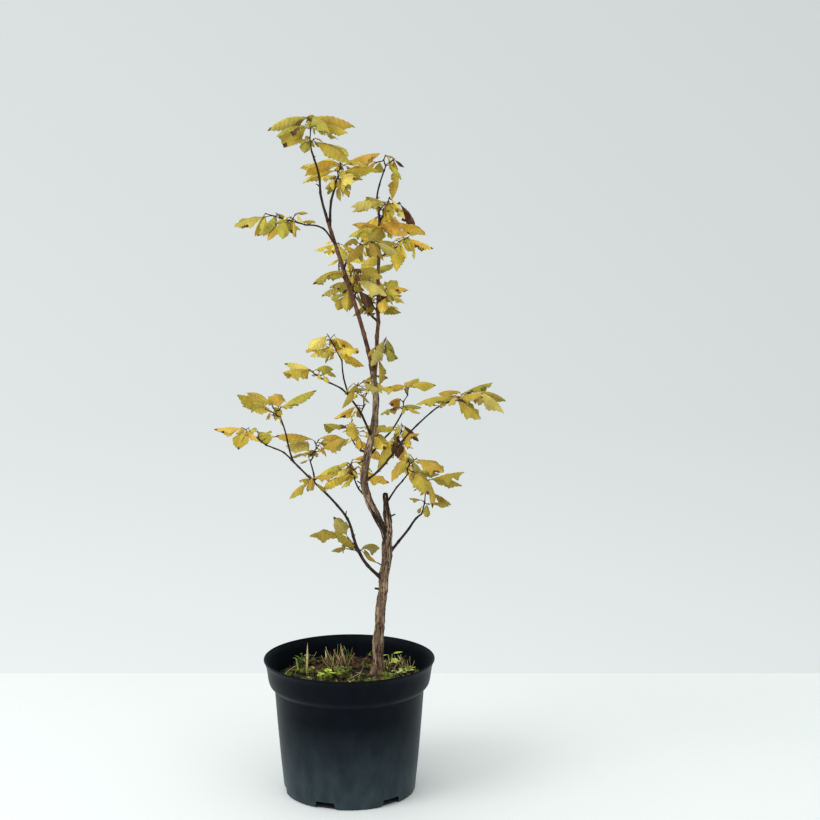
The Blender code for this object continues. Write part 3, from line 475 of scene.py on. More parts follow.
def finish(name, colour, darker, scale, roughness, bump=0.0, bump_scale=None, stretch=(1, 1, 1), specks=None,
           dust_and_reflection=None, **sockets):
    """A material whose colour wanders between two shades, with fine relief from noise.

    Specks are small spots of another colour, given as colour, scale and size. A cover of dust and painted reflection
    is a thin uneven layer of another colour that fades out upwards, dust on the thing and a painted reflection of
    the white floor low on it, given as colour, its foot's and its top's height, and its strength.
    """
    material = bpy.data.materials.new(name)
    material.use_nodes = True
    nodes, links = material.node_tree.nodes, material.node_tree.links
    shader = nodes["Principled BSDF"]
    shader.inputs["Roughness"].default_value = roughness
    for socket, value in sockets.items():
        shader.inputs[socket.replace("_", " ")].default_value = value
    place_of = nodes.new("ShaderNodeTexCoord")
    mapping = nodes.new("ShaderNodeMapping")
    mapping.inputs["Scale"].default_value = stretch
    links.new(place_of.outputs["Object"], mapping.inputs["Vector"])

    def noisy(size, detail=5.0):
        texture = nodes.new("ShaderNodeTexNoise")
        texture.inputs["Scale"].default_value = size
        texture.inputs["Detail"].default_value = detail
        links.new(mapping.outputs["Vector"], texture.inputs["Vector"])
        return texture.outputs["Fac"]

    def ramped(value, ends, shades):
        ramp = nodes.new("ShaderNodeValToRGB")
        for element, position, shade_of in zip(ramp.color_ramp.elements, ends, shades):
            element.position = position
            element.color = (*shade_of, 1)
        links.new(value, ramp.inputs["Fac"])
        return ramp.outputs["Color"]

    def mixed(factor, first, second):
        mix = nodes.new("ShaderNodeMix")
        mix.data_type = "RGBA"
        links.new(factor, mix.inputs[0])
        links.new(first, mix.inputs[6])
        mix.inputs[7].default_value = (*second, 1)
        return mix.outputs[2]

    shown = ramped(noisy(scale), (0.35, 0.65), (darker, colour))
    if specks:
        spot_colour, spot_scale, spot_size = specks
        cells = nodes.new("ShaderNodeTexVoronoi")
        cells.inputs["Scale"].default_value = spot_scale
        links.new(mapping.outputs["Vector"], cells.inputs["Vector"])
        spots = ramped(cells.outputs["Distance"], (spot_size * 0.7, spot_size), ((1, 1, 1), (0, 0, 0)))
        shown = mixed(spots, shown, spot_colour)
    # The pale cover that fades out upwards: dust, and a painted reflection of the floor below.
    if dust_and_reflection:
        dust_and_reflection_colour, low, high, strength = dust_and_reflection
        height = nodes.new("ShaderNodeSeparateXYZ")
        links.new(place_of.outputs["Object"], height.inputs["Vector"])
        fade = nodes.new("ShaderNodeMapRange")
        fade.inputs["From Min"].default_value, fade.inputs["From Max"].default_value = low * MM, high * MM
        fade.inputs["To Min"].default_value, fade.inputs["To Max"].default_value = strength, 0.0
        links.new(height.outputs["Z"], fade.inputs["Value"])
        runs = nodes.new("ShaderNodeMapping")
        runs.inputs["Scale"].default_value = (1.0, 1.0, DUST_AND_REFLECTION_RUNS)
        links.new(place_of.outputs["Object"], runs.inputs["Vector"])
        streaks = nodes.new("ShaderNodeTexNoise")
        streaks.inputs["Scale"].default_value = scale
        streaks.inputs["Detail"].default_value = 10.0
        links.new(runs.outputs["Vector"], streaks.inputs["Vector"])
        patches = ramped(streaks.outputs["Fac"], (0.2, 0.8), ((0.28,) * 3, (0.72,) * 3))
        cover = nodes.new("ShaderNodeMath")
        cover.operation = "MULTIPLY"
        links.new(fade.outputs["Result"], cover.inputs[0])
        links.new(patches, cover.inputs[1])
        shown = mixed(cover.outputs["Value"], shown, dust_and_reflection_colour)
    links.new(shown, shader.inputs["Base Color"])
    if bump:
        relief = nodes.new("ShaderNodeBump")
        relief.inputs["Strength"].default_value = 0.6
        relief.inputs["Distance"].default_value = bump * MM
        links.new(noisy(bump_scale, 6.0), relief.inputs["Height"])
        links.new(relief.outputs["Normal"], shader.inputs["Normal"])
    return material


# Mesh building


class Shape:
    """Points and faces of one joined piece, with a material number for each face."""

    def __init__(self):
        self.points, self.faces, self.slots = [], [], []
        self.count = 0

    def add(self, points, faces, slots=0):
        self.points.append(np.asarray(points, float))
        self.faces += [tuple(corner + self.count for corner in face) for face in faces]
        self.slots += [slots] * len(faces) if isinstance(slots, int) else list(slots)
        self.count += len(points)

    def piece(self, name, materials, slot, nodes, smooth=True):
        mesh = bpy.data.meshes.new(name)
        mesh.from_pydata(np.concatenate(self.points) * MM, [], self.faces)
        for material in materials:
            mesh.materials.append(material)
        mesh.polygons.foreach_set("material_index", self.slots)
        mesh.update()
        if smooth:
            mesh.shade_smooth()
        obj = bpy.data.objects.new(name, mesh)
        bpy.context.scene.collection.objects.link(obj)
        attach(obj, "root")
        if nodes:
            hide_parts(*nodes)
        return obj


def grid_faces(rows, columns, closed=False):
    """Quads between the points of a grid, numbered row by row. A closed one joins its last column to its first."""
    faces = []
    for row in range(rows - 1):
        for column in range(columns if closed else columns - 1):
            beside = (column + 1) % columns
            a, b = row * columns, (row + 1) * columns
            faces.append((a + column, a + beside, b + beside, b + column))
    return faces


def steady_frames(points):
    """Two directions across a line of points that turn as little as they can along it."""
    ways = np.diff(points, axis=0)
    ways = np.vstack((ways, ways[-1]))
    ways /= np.linalg.norm(ways, axis=1)[:, None]
    first = np.cross(ways[0], (0.0, 1.0, 0.0))
    if np.linalg.norm(first) < 0.1:
        first = np.cross(ways[0], (1.0, 0.0, 0.0))
    sides = [unit(first)]
    for way in ways[1:]:
        sides.append(unit(sides[-1] - way * (sides[-1] @ way)))
    sides = np.array(sides)
    return ways, sides, np.cross(ways, sides)


def tube(points, radii, sides, relief=None):
    """A round tube with closed, rounded ends. relief adds to the radius by distance along and angle round."""
    points, radii = np.asarray(points, float), np.asarray(radii, float)
    ways, across, up = steady_frames(points)
    along = np.concatenate(((0.0,), np.cumsum(np.linalg.norm(np.diff(points, axis=0), axis=1))))
    angles = np.arange(sides) * math.tau / sides
    rings = np.repeat(radii[:, None], sides, 1)
    if relief:
        rings = rings + np.array([[relief(distance, angle) for angle in angles] for distance in along])
    spokes = across[:, None] * np.cos(angles)[:, None] + up[:, None] * np.sin(angles)[:, None]
    body = points[:, None] + spokes * rings[..., None]
    end = points[-1] + ways[-1] * radii[-1] * 0.45 + spokes[-1] * rings[-1][:, None] * 0.6
    body = np.vstack((body.reshape(-1, 3), end))
    faces = grid_faces(len(points) + 1, sides, closed=True)
    tip = len(body)
    body = np.vstack((body, points[-1] + ways[-1] * radii[-1] * 0.65, points[0]))
    last = len(points) * sides
    faces += [(last + k, last + (k + 1) % sides, tip) for k in range(sides)]
    faces += [((k + 1) % sides, k, tip + 1) for k in range(sides)]
    return body, faces


def spindle(base, way, length, width, sides=6):
    """A pointed bud: thickest below its middle."""
    shares = np.array((0.0, 0.18, 0.42, 0.68, 0.88, 1.0))
    radii = np.array((0.35, 0.85, 1.0, 0.72, 0.34, 0.05)) * width / 2
    points = np.asarray(base, float) + np.outer(shares * length, unit(np.asarray(way, float)))
    return tube(points, radii, sides)


# Leaves

TEETH = 8
TOOTH_ROWS = 5
LEAF_ROWS = TEETH * TOOTH_ROWS
COLUMNS_AT = (-1.0, -0.84, -0.62, -0.38, -0.12, 0.0, 0.12, 0.38, 0.62, 0.84, 1.0)
BLADE_START = 0.10
VEIN_LEAN = 0.085
TOOTH_OUT = (-0.6, -0.1, 0.5, 1.0, 0.45)
TOOTH_DEPTH = (0.035, 0.09)
DEEP_TEETH = 0.22
VEIN_RELIEF = 0.012
MARGIN_WAVE = 0.08
CENTRE, MARGIN, RIB, BURNT = range(4)


def leaf_blade(leaf):
    """Points, faces and material numbers of a toothed, veined and folded blade."""
    rng = random.Random(int(leaf.tone * 1e6))
    along = np.arange(LEAF_ROWS + 1) / LEAF_ROWS
    share = BLADE_START + (1 - BLADE_START) * along
    fine = np.arange(LEAF_STEPS * 5 + 1) / (LEAF_STEPS * 5)
    half = np.interp(share, np.arange(LEAF_STEPS + 1) / LEAF_STEPS, LEAF_PROFILE) * leaf.width / 2
    half = np.maximum(half, 0.15)
    line, across, up = midrib(leaf, LEAF_STEPS * 5)
    teeth = np.clip((along - 0.08) / 0.1, 0, 1) * np.clip((0.97 - along) / 0.08, 0, 1)
    deep = 1.7 if rng.random() < DEEP_TEETH else 1.0
    depth = {side: deep * rng.uniform(*TOOTH_DEPTH) for side in (-1, 1)}
    uneven = {side: [rng.uniform(0.5, 1.3) for _ in range(TEETH + 1)] for side in (-1, 1)}
    wave, phase = rng.uniform(-1, 1) * MARGIN_WAVE * leaf.length, rng.uniform(0, math.tau)
    wave_count = rng.uniform(1.4, 3.2)
    steps = np.arange(LEAF_ROWS + 1)
    columns = []
    for s in COLUMNS_AT:
        side, out = (1 if s > 0 else -1), abs(s)
        edge = max(0.0, (out - 0.56) / 0.44) ** 1.5
        sizes = np.array([uneven[side][row // TOOTH_ROWS] for row in steps])
        tooth = np.array([TOOTH_OUT[row % TOOTH_ROWS] for row in steps]) * teeth * sizes * depth[side]
        wide = half * out * (1 + tooth * edge)
        ahead = (steps % TOOTH_ROWS == TOOTH_ROWS - 2) * teeth * edge * 0.6 / LEAF_ROWS
        at = np.clip(share + VEIN_LEAN * out * 4 * along * (1 - along) + ahead, 0, 1)
        place_at = np.stack([np.interp(at, fine, line[:, axis]) for axis in range(3)], 1)
        across_at = np.stack([np.interp(at, fine, across[:, axis]) for axis in range(3)], 1)
        up_at = np.stack([np.interp(at, fine, up[:, axis]) for axis in range(3)], 1)
        fold = leaf.fold * (0.75 + 0.5 * out)
        veins = np.cos(math.tau * (steps + 1) / TOOTH_ROWS) * math.sin(math.pi * min(1.0, out * 1.15))
        lift = -veins * VEIN_RELIEF * leaf.length * teeth
        lift = lift + wave * out**2 * np.sin(math.tau * wave_count * along + phase + side) * half / (leaf.width / 2)
        lift = lift - (out < 0.05) * 0.25
        way = across_at * (side * wide * math.cos(fold))[:, None]
        columns.append(place_at + way + up_at * (lift - wide * math.sin(fold))[:, None])
    points = np.stack(columns, 1).reshape(-1, 3)
    faces = grid_faces(LEAF_ROWS + 1, len(COLUMNS_AT))
    return points, faces, leaf_slots(leaf, rng)


def leaf_slots(leaf, rng):
    """The colour zone of each face: centre, margin, rib or burnt."""
    tip_from = rng.uniform(0.82, 0.96) if rng.random() < BURNT_TIPS else 2.0
    toothed = rng.random() < BURNT_TEETH
    streak = (0.0, 0.0, 0)
    if rng.random() < BURNT_STREAKS:
        first = rng.uniform(0.2, 0.7)
        streak = (first, first + rng.uniform(0.12, 0.4), rng.choice((-1, 1)))
    slots = []
    for row in range(LEAF_ROWS):
        share = (row + 0.5) / LEAF_ROWS
        ragged = rng.uniform(-0.12, 0.12)
        spotted = toothed and row % TOOTH_ROWS == TOOTH_ROWS - 2 and rng.random() < 0.3
        for a, b in zip(COLUMNS_AT, COLUMNS_AT[1:]):
            middle = (a + b) / 2
            slot = MARGIN if abs(middle) > 0.70 + ragged else RIB if abs(middle) < 0.1 else CENTRE
            if share > tip_from + 0.06 * abs(middle):
                slot = BURNT
            if streak[0] < share < streak[1] and streak[2] * middle > 0.66 + ragged:
                slot = BURNT
            if spotted and abs(middle) > 0.9:
                slot = BURNT
            slots.append(slot)
    return slots


BURNT_TIPS = 0.45
BURNT_TEETH = 0.40
BURNT_STREAKS = 0.20

# Each tint of leaf: the share of leaves up to which it is dealt, then its centre, margin, rib and patch colours
TINTS = (
    ("brown", 0.045, (98, 64, 46), (68, 46, 38), (120, 84, 56), (50, 34, 30)),
    ("orange", 0.10, (186, 146, 60), (170, 146, 64), (194, 156, 74), (142, 98, 44)),
    ("amber", 0.31, (192, 156, 58), (172, 151, 64), (200, 166, 76), (142, 112, 44)),
    ("gold", 0.68, (190, 162, 60), (172, 156, 68), (198, 173, 80), (132, 119, 46)),
    ("straw", 0.84, (200, 179, 88), (184, 169, 98), (206, 189, 110), (154, 139, 64)),
    ("lime", 1.01, (174, 159, 60), (157, 148, 66), (182, 171, 82), (122, 118, 46)),
)
BURNT_COLOUR = (74, 46, 34)


# Painted light and shade by spray: how much lighter or darker a spray's leaves are than the tints above, and the
# sprays of each step
# Lighter steps are painted light on sprays whose leaves face away from the lamps; the deep step is painted shade on
# shaded inner clusters
PAINTED_LIGHT_AND_SHADE = {
    "deep": (0.84, ("left_fringe", "fork", "upper_right", "middle_low", "low_inner")),
    "plain": (0.99, ()),
    "bright": (1.09, ("left_mid", "upper_left", "right_upper", "low_left_up", "middle_back", "leader_tip")),
    "pale": (1.19, ("left_high", "left_low_inner", "low_left_far", "crown_right", "left_twig", "middle_side",
                    "leader_cross", "right_inner", "left_inner")),
    "light": (1.31, ("leader_bud", "right_high", "inner_high")),
}


def build_leaves(leaves):
    """One piece of leaves for each step of painted light and shade and each tint."""
    shapes = {}
    for spray, leaf in leaves:
        shade = next((name for name, (_, sprays) in PAINTED_LIGHT_AND_SHADE.items() if spray[6:] in sprays), "plain")
        tint = next(name for name, upto, *_ in TINTS if leaf.tone < upto)
        shapes.setdefault((shade, tint), Shape()).add(*leaf_blade(leaf))
    burnt = leaf_finish("leaf_burnt", BURNT_COLOUR, (110, 74, 48), 1.0)
    for (shade, tint), shape in sorted(shapes.items()):
        centre, margin, rib, speck = next(row[2:] for row in TINTS if row[0] == tint)
        colours = [leaf_finish(f"{shade}_{tint}_{zone}", rgb, speck, PAINTED_LIGHT_AND_SHADE[shade][0]) for zone, rgb in
                   (("centre", centre), ("margin", margin), ("rib", rib))]
        shape.piece(f"leaves_{shade}_{tint}", [*colours, burnt], "leaves", ())
    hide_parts(*[spray.name for spray in SPRAYS])


def leaf_finish(name, rgb, speck, painted_light_gain):
    # The gain lightens or darkens the leaf colours as painted light and shade for the spray.
    colour, worn = [colour_of(*(min(250, part * painted_light_gain) for part in parts)) for parts in (rgb, speck)]
    patch = tuple(0.45 * a + 0.55 * b for a, b in zip(colour, worn))
    return finish(name, colour, patch, 75.0, 0.6, bump=0.06, bump_scale=420.0,
                  specks=(tuple(0.8 * part for part in worn), 230.0, 0.04), Specular_IOR_Level=0.12)


# Limbs and twigs


def fissure_at(seed, distance, angle):
    """How far a spot on old bark is from a fissure: 0 in its middle."""
    turn = angle + distance * 0.012
    return abs(noise.noise(Vector((math.cos(turn) * 3.0, math.sin(turn) * 3.0, seed + distance * 0.032))))


def bark_slots(limb, seed, along, sides):
    """The colour zone of each face of an old limb: plates, fissures, or worn pale ridges, with the fissure colour
    spread wider near the fork as painted shade.
    """
    slots = []
    for distance in along:
        gap = along[-1] - distance if limb.parent is None else distance
        # Near the fork the fissure colour spreads wider: painted shade where the main stem leaves the trunk.
        depth = FISSURE + FORK_PAINTED_SHADE * math.exp(-gap / FORK_PAINTED_SHADE_REACH)
        for k in range(sides):
            angle = (k + 0.5) * math.tau / sides
            worn = noise.noise(Vector((math.cos(angle) * 1.6, math.sin(angle) * 1.6, seed + 9 + distance * 0.05)))
            off = fissure_at(seed, distance, angle)
            slots.append(1 if off < depth + 0.08 * max(0.0, -worn) else 2 if off > 0.14 and worn > 0.12 else 0)
    return slots + [1] * (2 * sides)


def bark_relief(seed, depth, thick):
    """Fissures and burls along an old limb, or faint lumps on a young one, as an addition to its radius."""

    def relief(distance, angle):
        ring = Vector((math.cos(angle) * 2.2, math.sin(angle) * 2.2, seed))
        if not thick:
            lump = noise.noise(ring * 0.8 + Vector((0, 0, distance * 0.16)))
            grain = noise.noise(ring * 2.5 + Vector((5, 5, distance * 0.7)))
            return depth * (0.8 * lump + 0.4 * grain)
        crack = -max(0.0, 0.16 - fissure_at(seed, distance, angle)) * 5.0
        burls = noise.noise(Vector((math.cos(angle) * 0.7, math.sin(angle) * 0.7, seed + distance * 0.06)))
        plates = noise.noise(ring * 1.5 + Vector((3, 7, distance * 0.10)))
        flakes = noise.noise(ring * 2.6 + Vector((3, 7, distance * 0.34)))
        return depth * (0.9 * crack + 1.6 * burls + 0.8 * plates + 0.5 * flakes + 0.1)

    return relief


def knotty(points, radii, limb, rng):
    """A limb's line and radii with a slight turn and a swelling at each of its nodes, and where those are."""
    along = np.concatenate(((0.0,), np.cumsum(np.linalg.norm(np.diff(points, axis=0), axis=1))))
    nodes = [rng.uniform(6, 14)]
    while nodes[-1] < along[-1] - 8:
        nodes.append(nodes[-1] + rng.uniform(*NODE_SPACING))
    nodes = np.array(nodes[:-1])
    if not len(nodes):
        return points, radii, nodes
    ways, across, up = steady_frames(points)
    turn = rng.uniform(0, math.tau)
    side = across * math.cos(turn) + up * math.sin(turn)
    reach = min(1.0, 0.45 * radii.min()) if limb.name in THICK_LIMBS else min(1.0, 0.8 * radii.min())
    knots = np.concatenate(((0.0,), nodes, (along[-1],)))
    swings = np.array([0.0] + [reach * (-1) ** k * rng.uniform(0.5, 1.0) for k in range(len(nodes))] + [0.0])
    points = points + side * np.interp(along, knots, swings)[:, None]
    for node in nodes:
        radii = radii * (1 + NODE_SWELL[limb.name in THICK_LIMBS] * np.exp(-(((along - node) / 2.2) ** 2)))
    return points, radii, nodes


def build_limbs(curves):
    shapes = {group: Shape() for group in BARKS}
    buds = Shape()
    rng = random.Random(23)
    for number, limb in enumerate(LIMBS):
        thick = limb.name in THICK_LIMBS
        sides, spacing = SEGMENTS["thick" if thick else "thin"]
        count = max(6, int(np.linalg.norm(limb.reach) / spacing))
        shares = np.linspace(0, 1, count)
        points = np.array([point_on(curves[limb.name], share) for share in shares])
        radii = np.array([limb_radius(limb, share) for share in shares])
        if limb.parent is None:
            radii = radii + FLARE * np.exp(-(points[:, 2] - points[0, 2]) / FLARE_REACH)
        points, radii, nodes = knotty(points, radii, limb, rng)
        along = np.concatenate(((0.0,), np.cumsum(np.linalg.norm(np.diff(points, axis=0), axis=1))))
        if limb.parent:
            parent = next(other for other in LIMBS if other.name == limb.parent)
            bark_at = limb_radius(parent, limb.at)
            radii = radii * (1 + COLLAR * np.exp(-np.maximum(0, along - bark_at) / (1.5 * radii[0])))
        group = next(name for name, (limbs, *_) in BARKS.items() if not limbs or limb.name in limbs)
        seed = number * 3.1
        slots = bark_slots(limb, seed, along, sides) if thick else 0
        shapes[group].add(*tube(points, radii, sides, bark_relief(seed, 0.75 if thick else 0.20, thick)), slots)
        ways, across, up = steady_frames(points)
        for k, node in enumerate(nodes):
            if thick or rng.random() > BUD_SHARE:
                continue
            i = int(np.searchsorted(along, node))
            turn = k * math.pi + rng.uniform(-0.7, 0.7)
            out = across[i] * math.cos(turn) + up[i] * math.sin(turn)
            way = ways[i] * rng.uniform(0.8, 1.6) + out
            start = points[i] + out * radii[i] * 0.7
            length = rng.uniform(1.8, 3.8)
            buds.add(*spindle(start, way, length + radii[i] * 0.3, rng.uniform(1.1, 1.7)))
    for limb_name, share, azimuth, climb, length, radius in SPURS:
        limb = next(limb for limb in LIMBS if limb.name == limb_name)
        start = point_on(curves[limb_name], share)
        way = heading(math.radians(azimuth), math.radians(climb))
        whole = length + limb_radius(limb, share)
        steps = np.linspace(0, 1, 8)
        line = start + np.outer(steps * whole, way) + np.outer(np.sin(steps * 3), (0, 0, 0.5))
        shapes["dark"].add(*tube(line, np.linspace(radius * 1.4, radius * 0.8, 8), 9, bark_relief(share * 9, 0.2, False)))
    for group, (limbs, slot, zones) in BARKS.items():
        thick = group == "old"
        barks = [finish(f"{group}_bark_{zone}", colour_of(*pale), colour_of(*dark), 260.0, 0.85 if thick else 0.6,
                        bump=0.8 if thick else 0.18, bump_scale=520.0 if thick else 800.0,
                        stretch=(1, 1, 0.25 if thick else 0.45), specks=(colour_of(*specks), 420.0, 0.12),
                        Specular_IOR_Level=0.15) for zone, (pale, dark, specks) in zones.items()]
        rest = [limb.name for limb in LIMBS if not any(limb.name in row[0] for row in BARKS.values())]
        shapes[group].piece(f"{group}_bark", barks, slot, limbs or rest)
    bud = finish("limb_buds", colour_of(104, 66, 44), colour_of(52, 36, 30), 500.0, 0.5, bump=0.1, bump_scale=1600.0)
    buds.piece("limb_buds", [bud], "young_bark", ())


def build_twigs(growths, fine_twigs, leaves):
    twigs, petioles, buds = Shape(), Shape(), Shape()
    rng = random.Random(11)
    for growth in growths:
        knots = np.array([growth.stem[0][0]] + [stretch[1] for stretch in growth.stem])
        radii = [0.95 - 0.4 * i / (len(knots) - 1) for i in range(len(knots))]
        lengths = np.linspace(0, len(knots) - 1, 8 * (len(knots) - 1) + 1)
        points = np.stack([np.interp(lengths, range(len(knots)), knots[:, axis]) for axis in range(3)], 1)
        swell = 0.35 * np.exp(-((lengths - np.round(lengths)) * 6) ** 2)
        twigs.add(*tube(points, np.interp(lengths, range(len(knots)), radii) + swell, 7))
        for knot, before in zip(knots[1:], knots):
            way = unit(knot - before) + np.array([rng.uniform(-0.8, 0.8) for _ in range(3)])
            buds.add(*spindle(knot, way, rng.uniform(3.0, 5.5), rng.uniform(1.3, 1.8)))
        for start, end, _, _ in growth.shoots:
            bend = np.array([rng.uniform(-0.6, 0.6) for _ in range(3)])
            shares = np.linspace(0, 1, 7)[:, None]
            twigs.add(*tube(start + (end - start) * shares + bend * np.sin(shares * math.pi),
                            np.linspace(0.65, 0.5, 7), 6))
            buds.add(*spindle(end, end - start, rng.uniform(3.5, 6.0), rng.uniform(1.3, 1.8)))
    for start, end in fine_twigs:
        shares = np.linspace(0, 1, 5)[:, None]
        bend = np.array([rng.uniform(-0.5, 0.5) for _ in range(3)])
        twigs.add(*tube(start + (end - start) * shares + bend * np.sin(shares * math.pi), np.linspace(0.55, 0.42, 5), 6))
        if rng.random() < 0.6:
            buds.add(*spindle(end, end - start, rng.uniform(2.0, 4.0), rng.uniform(1.0, 1.4)))
    for _, leaf in leaves:
        line, _, _ = midrib(leaf, LEAF_STEPS * 5)
        petioles.add(*tube(line[:7], np.linspace(0.5, 0.34, 7), 6))
    twig_bark = finish("twig_bark", colour_of(60, 44, 36), colour_of(26, 20, 20), 240.0, 0.6,
                       bump=0.1, bump_scale=1200.0, specks=(colour_of(104, 84, 70), 700.0, 0.12), Specular_IOR_Level=0.15)
    stalk = finish("leaf_stalk", colour_of(158, 122, 58), colour_of(104, 70, 40), 300.0, 0.55,
                   bump=0.05, bump_scale=1500.0)
    bud = finish("bud_scales", colour_of(112, 70, 42), colour_of(58, 38, 28), 500.0, 0.5,
                 bump=0.1, bump_scale=1600.0)
    twigs.piece("twigs", [twig_bark], "young_bark", ())
    petioles.piece("leaf_stalks", [stalk], "leaves", ())
    buds.piece("buds", [bud], "young_bark", ())


# Barks: the limbs that wear each, its slot, and the pale, dark and speck colours of its zones
BARKS = {
    "old": (THICK_LIMBS, "old_bark", {
        "plate": ((130, 105, 84), (82, 64, 52), (156, 134, 111)),
        "fissure": ((58, 46, 38), (28, 22, 19), (86, 68, 54)),
        "ridge": ((170, 147, 121), (130, 106, 84), (186, 167, 141)),
    }),
    "red": (("leader_left", "leader_middle"), "young_bark", {
        "plain": ((120, 78, 56), (54, 37, 30), (158, 118, 94)),
    }),
    "dark": ((), "young_bark", {"plain": ((60, 42, 36), (22, 17, 17), (96, 76, 64))}),
}
FISSURE = 0.045
# How much the fissure colour spreads at the fork as painted shade, and how far from the fork that reaches
FORK_PAINTED_SHADE = 0.48
FORK_PAINTED_SHADE_REACH = 28.0
COLLAR = 0.35
NODE_SPACING = (15.0, 30.0)
NODE_SWELL = {True: 0.05, False: 0.20}  # on thick limbs and on thin ones
BUD_SHARE = 0.35

# Dead spurs: limb, share, azimuth and climb in degrees, length and radius
SPURS = (
    ("trunk", 0.86, 20, 20, 6.0, 1.1),
    ("trunk", 0.58, 150, 25, 7.0, 0.8),
    ("trunk", 0.45, 170, 10, 4.0, 1.6),
    ("main_stem", 0.30, 150, 30, 8.0, 0.9),
    ("main_stem", 0.47, 200, -20, 7.0, 0.9),
    ("main_stem", 0.60, 30, 15, 5.0, 0.9),
    ("leader_middle", 0.97, 40, 70, 12.0, 1.2),
    ("tip_left", 0.5, 160, 35, 5.0, 0.7),
    ("low_left", 0.60, 70, 60, 5.0, 0.7),
    ("low_left", 0.28, 230, 20, 6.0, 0.8),
)


# The pot


def pot_outline():
    """The pot's outer side from the lip to the middle of the underside."""
    shoulder = POT_HEIGHT - SHOULDER_DEPTH
    return [
        (LIP_RADIUS - 1.1, POT_HEIGHT),
        (LIP_RADIUS - 0.3, POT_HEIGHT - 0.3),
        (LIP_RADIUS, POT_HEIGHT - 1.2),
        (LIP_RADIUS - 0.2, POT_HEIGHT - 2.2),
        (LIP_RADIUS - 0.9, POT_HEIGHT - 3.4),
        (LIP_RADIUS - 1.9, POT_HEIGHT - 5.4),
        (LIP_RADIUS - 3.0, POT_HEIGHT - 8.6),
        (BAND_TOP_RADIUS + 0.7, POT_HEIGHT - 12.4),
        (BAND_TOP_RADIUS, POT_HEIGHT - LIP_DEPTH),
        (BAND_TOP_RADIUS - 1.3, POT_HEIGHT - LIP_DEPTH - 10),
        (BAND_FOOT_RADIUS, POT_HEIGHT - BAND_DEPTH + 1.0),
        (BAND_FOOT_RADIUS - 0.5, POT_HEIGHT - BAND_DEPTH - 0.6),
        (BAND_FOOT_RADIUS - 1.8, POT_HEIGHT - BAND_DEPTH - 2.6),
        (BODY_TOP_RADIUS + 1.4, shoulder + 1.4),
        (BODY_TOP_RADIUS + 0.2, shoulder + 0.2),
        (BODY_TOP_RADIUS - 0.3, shoulder - 1.6),
        (BODY_TOP_RADIUS - 3.6, shoulder * 0.66),
        (BODY_TOP_RADIUS - 7.3, shoulder * 0.33),
        (BODY_FOOT_RADIUS, FOOT_ROUNDING),
        (BODY_FOOT_RADIUS - 0.9, 0.9),
        (BODY_FOOT_RADIUS - FOOT_ROUNDING, 0.0),
        (60.0, 0.0),
        (30.0, 0.0),
        (1.0, 0.0),
    ]


def build_pot():
    outline = np.array(pot_outline())
    angles = np.arange(POT_SIDES) * math.tau / POT_SIDES
    ring = np.stack((np.cos(angles), np.sin(angles)), 1)
    points = [np.column_stack((ring * radius, np.full(POT_SIDES, height))) for radius, height in outline]
    shape = Shape()
    points = np.concatenate(points)
    faces = [face[::-1] for face in grid_faces(len(outline), POT_SIDES, closed=True)]
    last = (len(outline) - 1) * POT_SIDES
    faces.append(tuple(last + k for k in reversed(range(POT_SIDES))))
    shape.add(points, faces)
    # Dark plastic with a pale cover low on the pot: dust, and a painted reflection of the white floor.
    plastic = finish("pot_plastic", colour_of(7, 11, 19), colour_of(4, 7, 13), 60.0, 0.42,
                     bump=0.05, bump_scale=900.0, specks=(colour_of(40, 48, 54), 520.0, 0.10),
                     dust_and_reflection=(colour_of(82, 98, 104), -25.0, 112.0, 0.9),
                     Specular_IOR_Level=0.05, Sheen_Weight=0.07, Sheen_Roughness=0.4,
                     Sheen_Tint=(0.8, 0.92, 1.0, 1.0))
    pot = shape.piece("nursery_pot", [plastic], "pot", ["pot"])
    bm = bmesh.new()
    bm.from_mesh(pot.data)
    bmesh.ops.recalc_face_normals(bm, faces=bm.faces)
    bm.to_mesh(pot.data)
    bm.free()
    wall = pot.modifiers.new("wall", "SOLIDIFY")
    wall.thickness = POT_WALL * MM
    wall.offset = -1.0
    cutters = []
    for i in range(NOTCHES):
        azimuth = FIRST_NOTCH + i * math.tau / NOTCHES
        bm = bmesh.new()
        bmesh.ops.create_cube(bm, size=1.0)
        bmesh.ops.scale(bm, vec=Vector((NOTCH_DEPTH, NOTCH_WIDTH, 2 * NOTCH_HEIGHT)) * MM, verts=bm.verts)
        for vert in bm.verts:
            vert.co.y *= NOTCH_TAPER if vert.co.z > 0 else 1 / NOTCH_TAPER
        turn = Matrix.Rotation(azimuth, 4, "Z") @ Matrix.Translation((BODY_FOOT_RADIUS * MM, 0, 0))
        bmesh.ops.transform(bm, matrix=turn, verts=bm.verts)
        mesh = bpy.data.meshes.new("notch")
        bm.to_mesh(mesh)
        bm.free()
        cutter = bpy.data.objects.new("notch", mesh)
        bpy.context.scene.collection.objects.link(cutter)
        cut = pot.modifiers.new(f"notch_{i}", "BOOLEAN")
        cut.operation = "DIFFERENCE"
        cut.object = cutter
        cutters.append(cutter)
    bpy.context.view_layer.update()
    graph = bpy.context.evaluated_depsgraph_get()
    mesh = bpy.data.meshes.new_from_object(pot.evaluated_get(graph), depsgraph=graph)
    pot.modifiers.clear()
    pot.data = mesh
    mesh.shade_smooth()
    mesh.set_sharp_from_angle(angle=math.radians(40))
    for cutter in cutters:
        bpy.data.objects.remove(cutter)


# The soil


